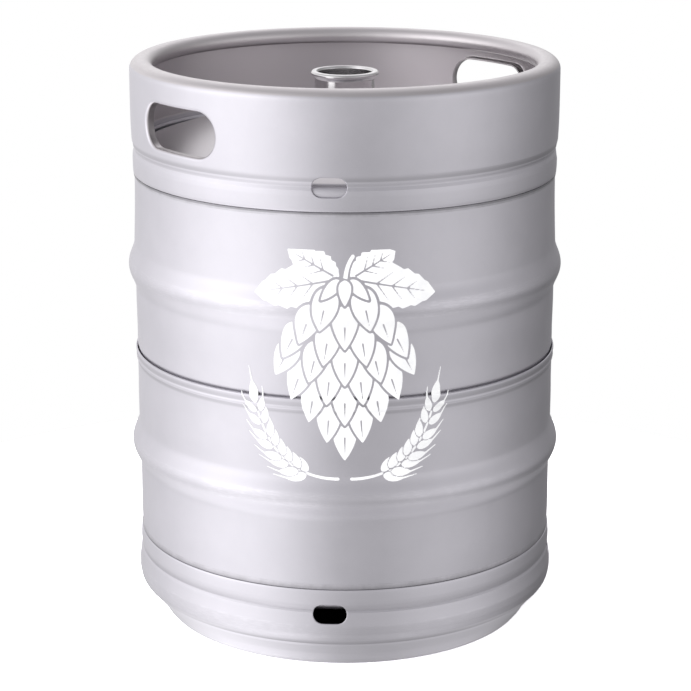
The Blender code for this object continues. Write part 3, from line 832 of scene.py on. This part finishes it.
body_pts = []
for r, z in collar:
    body_pts.append((r, z))
i_up = max(i for i, p in enumerate(body_pts) if abs(p[0] - 20.4) < 0.02 and p[1] > 493.0)
i_dn = min(i for i, p in enumerate(body_pts) if abs(p[0] - 20.4) < 0.02 and p[1] < 491.0)
lug_rows = [(20.39, 493.15, 0), (20.38, 493.12, 1), (20.38, 492.6, 1), (20.38, 491.5, 1),
            (20.38, 490.95, 1), (20.39, 490.92, 0)]
body_pts = body_pts[:i_up + 1] + [(r, z) for r, z, _ in lug_rows] + body_pts[i_dn:]
lug_set = {i_up + 1 + k: v for k, (_, _, v) in enumerate(lug_rows)}


def with_lugs(i, r, z, a):
    return (r - lug_depth(a), z) if lug_set.get(i) else (r, z)


settle(turned("extractor_body_turned", body_pts, SEG_NECK, machined, wobble=with_lugs, sharp=30.0),
       "vessel", "extractor_body")
settle(turned("body_seal_ring", ellipse(23.4, 487.33, 1.42, 0.96, 0.0, 345.0, 23), SEG_VALVE,
              rubber), "vessel", "body_seal")


def part_ring(name, points, seg, a0, a1, mat):
    """An outline turned through part of a turn, with rounded ends."""
    mid = np.mean(np.array(points), axis=0)
    verts, faces = [], []
    n = len(points)
    stations = []
    for k in range(4):
        f = math.sin(math.pi / 2 * (k + 1) / 4)
        stations.append((a0 - 1.6 * (1 - f), 0.35 + 0.65 * f))
    for k in range(1, seg):
        stations.append((a0 + (a1 - a0) * k / seg, 1.0))
    for k in range(3, -1, -1):
        f = math.sin(math.pi / 2 * (k + 1) / 4)
        stations.append((a1 + 1.6 * (1 - f), 0.35 + 0.65 * f))
    for a, s in stations:
        a = math.radians(a)
        for p in points:
            r, z = mid + (np.array(p) - mid) * s
            verts.append((r * math.sin(a), -r * math.cos(a), z))
    for k in range(len(stations) - 1):
        for i in range(n):
            j = (i + 1) % n
            faces.append([k * n + i, (k + 1) * n + i, (k + 1) * n + j, k * n + j])
    faces.append([i for i in range(n)])
    faces.append([(len(stations) - 1) * n + i for i in range(n)][::-1])
    area = sum(points[i][0] * points[(i + 1) % n][1] - points[(i + 1) % n][0] * points[i][1]
               for i in range(n))
    if area < 0:
        faces = [f[::-1] for f in faces]
    return make(name, verts, faces, mat)


settle(part_ring("lock_ring_snap",
                 rounded([(23.75, 495.25), (23.75, 494.45, 0.3), (26.1, 494.45, 0.3),
                          (26.1, 496.05, 0.3), (23.75, 496.05, 0.3), (23.75, 495.25)], 20.0)[:-1],
                 140, 13.0, 347.0, drawn), "vessel", "lock_ring")

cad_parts["spring_cage"].data.materials.clear()
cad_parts["spring_cage"].data.materials.append(machined)


def coil(name, radius, wire, z_low, z_high, turns, mat, per_turn=48, sides=14):
    """Round-wire compression spring, one close ground-looking turn at each end."""
    r_wire = wire / 2.0
    lo, hi = z_low + r_wire, z_high - r_wire
    close = wire + 0.35
    pitch = (hi - lo - 2.0 * close) / (turns - 2.0)

    def height(u):
        if u <= 1.0:
            return lo + close * u
        if u >= turns - 1.0:
            return hi - close * (turns - u)
        return lo + close + pitch * (u - 1.0)

    verts, faces = [], []
    count = int(turns * per_turn)
    for i in range(count + 1):
        u = i / per_turn
        a = 2.0 * math.pi * u
        taper = min(1.0, 0.45 + 0.55 * math.sqrt(min(i, count - i) / 3.0)) if min(i, count - i) < 3 else 1.0
        c = np.array([radius * math.cos(a), radius * math.sin(a), height(u)])
        out = np.array([math.cos(a), math.sin(a), 0.0])
        dz = height(min(u + 0.02, turns)) - height(max(u - 0.02, 0.0))
        dt = (min(u + 0.02, turns) - max(u - 0.02, 0.0)) * 2.0 * math.pi
        tan = np.array([-math.sin(a) * radius, math.cos(a) * radius, dz / dt])
        tan /= np.linalg.norm(tan)
        up = np.cross(out, tan)
        up /= np.linalg.norm(up)
        for k in range(sides):
            b = 2.0 * math.pi * k / sides
            verts.append(tuple(c + (out * math.cos(b) + up * math.sin(b)) * r_wire * taper))
    for i in range(count):
        for k in range(sides):
            k2 = (k + 1) % sides
            p, q = i * sides, (i + 1) * sides
            faces.append([p + k, p + k2, q + k2, q + k])
    faces.append(list(range(sides))[::-1])
    faces.append([count * sides + k for k in range(sides)])
    return make(name, verts, [f[::-1] for f in faces], mat)


main_spring = coil("main_spring_coil", 15.6, 2.2, 433.35, 473.65, 7.0, drawn)
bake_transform(main_spring)
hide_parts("main_spring")
ball_spring = coil("ball_spring_coil", 8.0, 1.1, 456.3, 471.1, 5.0, drawn, 40, 10)
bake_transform(ball_spring)
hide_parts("ball_spring")

head = rounded([(12.2, 478.2, 0.2), (17.2, 478.2, 0.3), (17.2, 475.2, 0.5), (16.8, 474.0, 0.3),
                (13.8, 474.0, 0.4), (13.8, 455.0, 1.0), (9.9, 449.8, 1.0), (9.9, 445.5, 0.3),
                (8.35, 445.5, 0.2), (8.35, 451.55, 0.1), (7.0, 451.55, 0.15), (7.0, 456.0, 0.3),
                (12.2, 456.0, 0.6), (12.2, 478.2)], 12.0)[:-1]
settle(turned("tube_head_turned", head, SEG_VALVE, machined), "spear", "tube_head")
tube = rounded([(8.0, 451.2, 0.3), (8.0, 30.0, 0.3), (7.0, 30.0, 0.2), (7.0, 451.2, 0.2),
                (8.0, 451.2)], 25.0)[:-1]
settle(turned("down_tube_drawn", tube, 64, polished), "spear", "down_tube")
settle(turned("seal_carrier_washer",
              rounded([(12.4, 479.07), (12.4, 478.55, 0.15), (17.1, 478.55, 0.2),
                       (17.1, 479.6, 0.2), (12.4, 479.6, 0.15), (12.4, 479.07)], 20.0)[:-1],
              SEG_VALVE, machined), "spear", "seal_carrier")
gas = rounded([(9.9, 479.2), (9.9, 478.55, 0.15), (12.0, 478.55, 0.15), (12.0, 479.95, 0.15),
               (17.0, 479.95, 0.4), (17.2, 481.6, 1.2), (16.6, 483.65, 0.8), (12.9, 483.55, 6.0),
               (9.3, 483.65, 0.7), (8.1, 482.9, 0.5), (8.05, 482.0, 0.5), (9.4, 480.0, 0.8),
               (9.9, 479.2)], 12.0)[:-1]
settle(turned("gas_seal_moulded", gas, SEG_VALVE, rubber), "spear", "gas_seal")


def ball_mesh(name, radius, zc, mat):
    """Ball from a turned half circle, its poles closed with fans."""
    pts = [(0.0, zc - radius)]
    n = 30
    for i in range(1, n):
        a = -math.pi / 2 + math.pi * i / n
        pts.append((radius * math.cos(a), zc + radius * math.sin(a)))
    pts.append((0.0, zc + radius))
    return turned(name, pts, 64, mat, closed=False, sharp=180.0)


settle(ball_mesh("valve_ball_polished", 9.2, 476.66, ball_steel), "ball", "valve_ball")


# ---- printed hop mark --------------------------------------------------------------------
def bezier(p0, p1, p2, p3, n):
    t = np.linspace(0.0, 1.0, n + 1)[:, None]
    p0, p1, p2, p3 = (np.array(p, float) for p in (p0, p1, p2, p3))
    return ((1 - t) ** 3 * p0 + 3 * (1 - t) ** 2 * t * p1 + 3 * (1 - t) * t * t * p2 + t ** 3 * p3)


def blade(base, angle, length, width, belly=0.34, teeth=0, depth=0.0, bend=0.0, tip=0.60):
    """Pointed leaf shape from its base along angle, in degrees from +x."""
    half = bezier((0, 0), (length * belly * 0.35, width * 0.62),
                  (length * (belly + 0.36), width * tip), (length, 0), 26)
    if teeth:
        u = np.linspace(0.0, 1.0, len(half))
        saw = (u * teeth) % 1.0
        half[:, 1] -= depth * saw * np.clip(4 * u * (1 - u), 0, 1)
        half[:, 1] = np.maximum(half[:, 1], 0.0)
    pts = np.vstack([half, half[::-1][1:-1] * (1, -1)])
    pts[:, 1] += bend * (pts[:, 0] / length) ** 2
    a = math.radians(angle)
    rot = np.array([[math.cos(a), -math.sin(a)], [math.sin(a), math.cos(a)]])
    return pts @ rot.T + np.array(base, float)


CELL = 0.9
GX = np.arange(-97.0, 97.0 + CELL, CELL)
GY = np.arange(-106.0, 106.0 + CELL, CELL)
FX, FY = np.meshgrid(GX, GY)
FAR = 9.0


def field_polygon(pts):
    """Signed distance to a closed polygon, negative inside, on the print grid."""
    out = np.full(FX.shape, FAR)
    lo, hi = pts.min(0) - 6.0, pts.max(0) + 6.0
    ix = np.where((GX >= lo[0]) & (GX <= hi[0]))[0]
    iy = np.where((GY >= lo[1]) & (GY <= hi[1]))[0]
    if not len(ix) or not len(iy):
        return out
    sl = np.ix_(iy, ix)
    x, y = FX[sl], FY[sl]
    best = np.full(x.shape, 1e9)
    inside = np.zeros(x.shape, bool)
    for a, b in zip(pts, np.roll(pts, -1, axis=0)):
        d = b - a
        n = float(d @ d)
        if n < 1e-12:
            continue
        u = np.clip(((x - a[0]) * d[0] + (y - a[1]) * d[1]) / n, 0, 1)
        best = np.minimum(best, (x - a[0] - u * d[0]) ** 2 + (y - a[1] - u * d[1]) ** 2)
        cross = (a[1] > y) != (b[1] > y)
        with np.errstate(divide="ignore", invalid="ignore"):
            xi = a[0] + (y - a[1]) / (d[1] if abs(d[1]) > 1e-12 else 1e-12) * d[0]
        inside ^= cross & (x < xi)
    dist = np.sqrt(best)
    out[sl] = np.where(inside, -dist, dist)
    return out


def field_line(pts, half_width, taper=1.0):
    """Distance to a polyline less its half width, which tapers along it."""
    pts = np.array(pts, float)
    out = np.full(FX.shape, FAR)
    for k, (a, b) in enumerate(zip(pts, pts[1:])):
        d = b - a
        n = float(d @ d)
        u = np.clip(((FX - a[0]) * d[0] + (FY - a[1]) * d[1]) / n, 0, 1)
        w = half_width * (1 + (taper - 1) * (k + u) / (len(pts) - 1))
        out = np.minimum(out, np.hypot(FX - a[0] - u * d[0], FY - a[1] - u * d[1]) - w)
    return out


def along(base, angle, d):
    a = math.radians(angle)
    return (base[0] + d * math.cos(a), base[1] + d * math.sin(a))


def hop_field():
    """Hop cone: overlapping pointed bracts, the upper rows over the lower ones."""
    shapes = [((0.0, 80.0), -90.0, 22.0, 15.0, 0), ((-4.0, 80.0), -134.0, 24.0, 14.0, 0),
              ((4.0, 80.0), -46.0, 24.0, 14.0, 0)]
    rows = [(61.0, 27.0, 2), (46.0, 52.0, 3), (30.0, 75.0, 4), (13.0, 89.0, 5), (-5.0, 71.0, 4),
            (-23.0, 50.0, 3), (-40.0, 26.0, 2), (-55.0, 0.0, 1)]
    for y, spread, count in rows:
        xs = [0.0] if count == 1 else list(np.linspace(-spread / 2, spread / 2, count))
        for x in sorted(xs, key=abs):
            lean = x * (0.55 + 0.006 * y)
            shapes.append(((x, y + 13.0), -90.0 + lean, 42.0 - abs(x) * 0.08, 30.0, 1))
    total = np.full(FX.shape, FAR)
    front = np.full(FX.shape, FAR)
    for base, angle, length, width, vein in shapes:
        f = field_polygon(blade(base, angle, length, width, 0.34, tip=0.34))
        seen = np.maximum(f, 2.0 - front)
        if vein:
            a, b = along(base, angle, length * 0.50), along(base, angle, length * 0.86)
            seen = np.maximum(seen, -field_line([a, b], 0.8, 0.35))
        total = np.minimum(total, seen)
        front = np.minimum(front, f)
    return total, front


def hop_leaf(side):
    base = (side * 5.0, 81.0)
    mid = 90.0 - side * 101.0
    f = np.full(FX.shape, FAR)
    spokes = ((0.0, 77.0, 44.0), (42.0, 46.0, 33.0), (-40.0, 52.0, 33.0))
    for turn, length, width in spokes:
        f = np.minimum(f, field_polygon(blade(base, mid + turn, length, width, 0.36, 8, 3.4)))
    for turn, length, width in spokes:
        start, end = along(base, mid + turn, length * 0.12), along(base, mid + turn, length * 0.88)
        f = np.maximum(f, -field_line([start, end], 0.95, 0.4))
        for k in (0.30, 0.48, 0.66):
            root = along(base, mid + turn, length * k)
            for s in (-1, 1):
                tip = along(root, mid + turn + s * 44.0, width * 0.42 * (1.25 - k))
                f = np.maximum(f, -field_line([root, tip], 0.62, 0.5))
    return f


def barley(side):
    spine = bezier((side * 6.0, -101.0), (side * 40.0, -101.0), (side * 74.0, -84.0),
                   (side * 84.0, -22.0), 40)
    f = field_line(spine[:36], 1.3, 0.7)
    n = 8
    for k in range(n):
        i = int(round(11 + k * 24 / (n - 1)))
        p, d = spine[i], spine[i + 1] - spine[i - 1]
        a = math.degrees(math.atan2(d[1], d[0]))
        size = 1.0 - 0.035 * k
        for s in (-1, 1):
            root = along(p, a + s * 90.0, 1.9)
            g = field_polygon(blade(root, a + s * 31.0, 19.5 * size, 9.4 * size, 0.30))
            tip0, tip1 = along(root, a + s * 31.0, 18.5 * size), along(root, a + s * 22.0, 31.0 * size)
            f = np.minimum(np.maximum(f, 0.9 - g), g)
            f = np.minimum(f, field_line([tip0, tip1], 0.75, 0.5))
    end, d = spine[-4], spine[-1] - spine[-4]
    a = math.degrees(math.atan2(d[1], d[0]))
    g = field_polygon(blade(end, a, 21.0, 9.4, 0.30))
    f = np.minimum(np.maximum(f, 0.9 - g), g)
    f = np.minimum(f, field_line([along(end, a, 20.0), along(end, a, 34.0)], 0.75, 0.5))
    return f


hop, hop_solid = hop_field()
stem = field_line(bezier((0.0, 72.0), (0.0, 84.0), (1.5, 93.0), (7.0, 101.0), 10), 2.0, 0.8)
leaves = np.minimum(hop_leaf(-1), hop_leaf(1))
leaves = np.maximum(leaves, 2.4 - hop_solid)
leaves = np.maximum(leaves, 1.6 - stem)
ears = np.minimum(barley(-1), barley(1))
ears = np.maximum(ears, 2.4 - hop_solid)
mark = np.minimum(np.minimum(hop, leaves), np.minimum(ears, np.maximum(stem, 1.6 - hop_solid)))
mark = np.where(np.abs(mark) < 1e-4, 1e-4, mark)


def march(field):
    """Cells of the field below zero, as shared points and polygons."""
    ny, nx = field.shape
    pts, polys, made = [], [], {}

    def corner(j, i):
        key = (j, i)
        if key not in made:
            made[key] = len(pts)
            pts.append((GX[i], GY[j]))
        return made[key]

    def cross(a, b):
        key = (a, b) if a < b else (b, a)
        if key not in made:
            (j0, i0), (j1, i1) = key
            f0, f1 = field[j0, i0], field[j1, i1]
            u = min(0.97, max(0.03, f0 / (f0 - f1)))
            made[key] = len(pts)
            pts.append((GX[i0] + (GX[i1] - GX[i0]) * u, GY[j0] + (GY[j1] - GY[j0]) * u))
        return made[key]

    low = np.minimum(np.minimum(field[:-1, :-1], field[1:, :-1]),
                     np.minimum(field[:-1, 1:], field[1:, 1:]))
    for j, i in zip(*np.where(low < 0)):
        ring = [(j, i), (j, i + 1), (j + 1, i + 1), (j + 1, i)]
        face = []
        for k in range(4):
            a, b = ring[k], ring[(k + 1) % 4]
            if field[a] < 0:
                face.append(corner(*a))
            if (field[a] < 0) != (field[b] < 0):
                face.append(cross(a, b))
        if len(face) > 2:
            polys.append(face)
    return pts, polys


outer_line = [(r, z) for r, z in upper if z < 419 and r > 196] + [(r, z) for r, z in lower if z < 254.2 and r > 196]
order = sorted(((z, r) for r, z in outer_line if not (239.8 <= z <= 257.9 and r < 196.9)))
LINE_Z = np.array([z for z, r in order])
LINE_R = np.array([r for z, r in order])
MARK_AZ, MARK_Z = 3.9, 282.5
flat_pts, polys = march(mark)
verts, faces = [], []
for lift in (0.16, 0.03):
    for x, y in flat_pts:
        z = MARK_Z + y
        r = float(np.interp(z, LINE_Z, LINE_R)) + lift
        a = math.radians(MARK_AZ) + x / 199.0
        verts.append((r * math.sin(a), -r * math.cos(a), z))
n_flat = len(flat_pts)
edge_use = {}
for f in polys:
    for a, b in zip(f, f[1:] + f[:1]):
        edge_use[(a, b)] = True
for f in polys:
    faces.append(f)
    faces.append([v + n_flat for v in f[::-1]])
for (a, b) in list(edge_use):
    if (b, a) not in edge_use:
        faces.append([b, a, a + n_flat, b + n_flat])
print_mark = make("hop_print", verts, faces, ink, sharp=60.0)
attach(print_mark, "vessel")


# ---- floor, light, camera -----------------------------------------------------------------
def disc(name, radius, n=128):
    verts = [(0.0, 0.0, 0.0)] + [(radius * math.cos(2 * math.pi * k / n),
                                  radius * math.sin(2 * math.pi * k / n), 0.0) for k in range(n)]
    faces = [[0, 1 + k, 1 + (k + 1) % n] for k in range(n)]
    mesh = bpy.data.meshes.new(name)
    mesh.from_pydata(verts, [], faces)
    obj = bpy.data.objects.new(name, mesh)
    bpy.context.scene.collection.objects.link(obj)
    return obj


floor = disc("studio_floor", 0.62)
floor.location.z = -0.0004
floor.visible_glossy = False
# Painted shadow: a near-black disc just under the foot ring, hidden from the camera, keeps the recess inside the
# foot dark where shade falls.
under = disc("dark_disc_under_foot", 0.1695)
under.location.z = -0.0003
mat = bpy.data.materials.new("studio_floor")
mat.use_nodes = True
nt = mat.node_tree
nt.nodes.clear()
out = nt.nodes.new("ShaderNodeOutputMaterial")
path = nt.nodes.new("ShaderNodeLightPath")
pale = nt.nodes.new("ShaderNodeBsdfDiffuse")
pale.inputs["Color"].default_value = (0.80, 0.80, 0.80, 1.0)
seen = nt.nodes.new("ShaderNodeBsdfDiffuse")
seen.inputs["Color"].default_value = (2.6, 2.6, 2.6, 1.0)
mixer = nt.nodes.new("ShaderNodeMixShader")
nt.links.new(path.outputs["Is Camera Ray"], mixer.inputs[0])
nt.links.new(pale.outputs[0], mixer.inputs[1])
nt.links.new(seen.outputs[0], mixer.inputs[2])
nt.links.new(mixer.outputs[0], out.inputs["Surface"])
floor.data.materials.append(mat)

# Near-black colour of that disc: painted shadow for the recess inside the foot.
shade = bpy.data.materials.new("painted_shadow_under_foot")
shade.use_nodes = True
shade.node_tree.nodes.clear()
dull = shade.node_tree.nodes.new("ShaderNodeBsdfDiffuse")
dull.inputs["Color"].default_value = (0.02, 0.02, 0.02, 1.0)
shade.node_tree.links.new(dull.outputs[0],
                          shade.node_tree.nodes.new("ShaderNodeOutputMaterial").inputs["Surface"])
under.data.materials.append(shade)

# The studio: a large soft source on the left, paler wrap behind, a dim right side.
AROUND = [(-180, 0.37), (-165, 0.70), (-140, 0.90), (-110, 1.05), (-80, 1.33), (-55, 1.50),
          (-32, 1.36), (-12, 0.875), (8, 0.59), (30, 0.745), (55, 1.00), (80, 0.85), (105, 0.52),
          (130, 0.30), (155, 0.25), (180, 0.37)]
# Under the keg the light goes by how far left or right it comes from.
BELOW = [(-1.0, 1.30), (-0.55, 1.74), (-0.38, 1.68), (-0.25, 1.30), (-0.08, 0.72), (0.02, 0.56),
         (0.17, 0.60), (0.33, 0.76), (0.60, 0.85), (1.0, 0.60)]
TOP_GAIN = 2.0
world = bpy.data.worlds.new("studio")
bpy.context.scene.world = world
world.use_nodes = True
nt = world.node_tree
nt.nodes.clear()


def wnode(kind, **props):
    n = nt.nodes.new(kind)
    for k, v in props.items():
        setattr(n, k, v)
    return n


def wmath(op, a, b=0.0):
    n = wnode("ShaderNodeMath", operation=op)
    for s, v in zip(n.inputs, (a, b)):
        if isinstance(v, (int, float)):
            s.default_value = v
        else:
            nt.links.new(v, s)
    return n.outputs[0]


direction = wnode("ShaderNodeTexCoord").outputs["Generated"]
split = wnode("ShaderNodeSeparateXYZ")
nt.links.new(direction, split.inputs[0])
azimuth = wmath("ARCTAN2", split.outputs[0], wmath("MULTIPLY", split.outputs[1], -1.0))
ramp_pos = wmath("ADD", wmath("DIVIDE", azimuth, 2 * math.pi), 0.5)
ramp = wnode("ShaderNodeValToRGB")
nt.links.new(ramp_pos, ramp.inputs[0])
ramp.color_ramp.interpolation = "CARDINAL"
els = ramp.color_ramp.elements
while len(els) > 1:
    els.remove(els[-1])
for k, (deg, value) in enumerate(AROUND):
    e = els[0] if k == 0 else els.new((deg + 180.0) / 360.0)
    e.position = (deg + 180.0) / 360.0
    v = value / TOP_GAIN
    e.color = (v, v, v, 1.0)
height = wnode("ShaderNodeMapRange")
height.interpolation_type = "SMOOTHSTEP"
nt.links.new(split.outputs[2], height.inputs["Value"])
for key, v in (("From Min", 0.17), ("From Max", 0.85), ("To Min", 0.0), ("To Max", 1.0)):
    height.inputs[key].default_value = v
side = wnode("ShaderNodeMapRange")
nt.links.new(split.outputs[0], side.inputs["Value"])
for key, v in (("From Min", -0.15), ("From Max", 0.45), ("To Min", 0.94), ("To Max", 0.66)):
    side.inputs[key].default_value = v
low_dim = wnode("ShaderNodeMapRange")
nt.links.new(split.outputs[2], low_dim.inputs["Value"])
for key, v in (("From Min", -0.36), ("From Max", -0.20), ("To Max", 1.0)):
    low_dim.inputs[key].default_value = v
nt.links.new(side.outputs["Result"], low_dim.inputs["To Min"])
ring = wnode("ShaderNodeVectorMath", operation="SCALE")
nt.links.new(ramp.outputs["Color"], ring.inputs[0])
nt.links.new(low_dim.outputs["Result"], ring.inputs["Scale"])
below = wnode("ShaderNodeValToRGB")
nt.links.new(wmath("MULTIPLY", wmath("ADD", split.outputs[0], 1.0), 0.5), below.inputs[0])
below.color_ramp.interpolation = "CARDINAL"
els = below.color_ramp.elements
while len(els) > 1:
    els.remove(els[-1])
for k, (x, value) in enumerate(BELOW):
    e = els[0] if k == 0 else els.new((x + 1.0) / 2)
    e.position = (x + 1.0) / 2
    v = value / TOP_GAIN
    e.color = (v, v, v, 1.0)
depth = wnode("ShaderNodeMapRange")
depth.interpolation_type = "SMOOTHSTEP"
nt.links.new(split.outputs[2], depth.inputs["Value"])
for key, v in (("From Min", -0.50), ("From Max", -0.80), ("To Min", 0.0), ("To Max", 1.0)):
    depth.inputs[key].default_value = v
blend_low = wnode("ShaderNodeMix", data_type="RGBA")
nt.links.new(depth.outputs["Result"], blend_low.inputs["Factor"])
cols = [s for s in blend_low.inputs if s.type == "RGBA"]
nt.links.new(ring.outputs[0], cols[0])
nt.links.new(below.outputs["Color"], cols[1])
blend_top = wnode("ShaderNodeMix", data_type="RGBA")
nt.links.new(height.outputs["Result"], blend_top.inputs["Factor"])
cols = [s for s in blend_top.inputs if s.type == "RGBA"]
nt.links.new([s for s in blend_low.outputs if s.type == "RGBA"][0], cols[0])
cols[1].default_value = (0.21, 0.21, 0.214, 1.0)


def lobe(vector, power, gain):
    """A soft round source in one direction."""
    dot = wnode("ShaderNodeVectorMath", operation="DOT_PRODUCT")
    nt.links.new(direction, dot.inputs[0])
    dot.inputs[1].default_value = Vector(vector).normalized()
    return wmath("MULTIPLY", wmath("POWER", wmath("MAXIMUM", dot.outputs["Value"], 0.0), power), gain)


# High on the left a card for the inside of the rim; behind the keg a low bright card and
# a softer one above it.
behind = wmath("ADD", lobe((-0.78, -0.38, 0.48), 6.0, 0.42),
               wmath("ADD", lobe((0.0, 0.97, 0.26), 16.0, 0.25),
                     lobe((-0.15, 0.72, 0.68), 5.0, 0.24)))
lit = wnode("ShaderNodeMix", data_type="RGBA", blend_type="ADD")
lit.inputs["Factor"].default_value = 1.0
ins = [s for s in lit.inputs if s.type == "RGBA"]
nt.links.new([s for s in blend_top.outputs if s.type == "RGBA"][0], ins[0])
grey = wnode("ShaderNodeCombineColor")
for k in range(3):
    nt.links.new(behind, grey.inputs[k])
nt.links.new(grey.outputs[0], ins[1])
soft = wnode("ShaderNodeBackground")
nt.links.new([s for s in lit.outputs if s.type == "RGBA"][0], soft.inputs["Color"])
soft.inputs["Strength"].default_value = TOP_GAIN
white = wnode("ShaderNodeBackground")
white.inputs["Color"].default_value = (1.0, 1.0, 1.0, 1.0)
lp = wnode("ShaderNodeLightPath")
wmix = wnode("ShaderNodeMixShader")
nt.links.new(lp.outputs["Is Camera Ray"], wmix.inputs[0])
nt.links.new(soft.outputs[0], wmix.inputs[1])
nt.links.new(white.outputs[0], wmix.inputs[2])
wout = wnode("ShaderNodeOutputWorld")
nt.links.new(wmix.outputs[0], wout.inputs["Surface"])

bpy.context.scene.view_settings.view_transform = "Standard"

# A wide soft lamp from the front left for the matt print; polished metal does not show it.
lamp_data = bpy.data.lights.new("soft_front", "SUN")
lamp_data.energy = 1.25
lamp_data.angle = math.radians(60.0)
lamp = bpy.data.objects.new("soft_front", lamp_data)
bpy.context.scene.collection.objects.link(lamp)
lamp.rotation_mode = "QUATERNION"
lamp.rotation_quaternion = Vector((-0.20, -1.0, 0.45)).to_track_quat("Z", "Y")
lamp.visible_glossy = False

cam_data = bpy.data.cameras.new("camera")
cam = bpy.data.objects.new("camera", cam_data)
bpy.context.scene.collection.objects.link(cam)
bpy.context.scene.camera = cam
az, el = math.radians(3.9), math.radians(15.85)
back = Vector((math.sin(az) * math.cos(el), -math.cos(az) * math.cos(el), math.sin(el)))
cam.location = Vector((0.0, 0.0, 0.253)) + back * 2.198
cam.rotation_mode = "QUATERNION"
cam.rotation_quaternion = (-back).to_track_quat("-Z", "Y")
cam_data.sensor_width = 36.0
cam_data.lens = 119.55
cam_data.shift_x = 0.0010
cam_data.clip_start, cam_data.clip_end = 0.05, 50.0
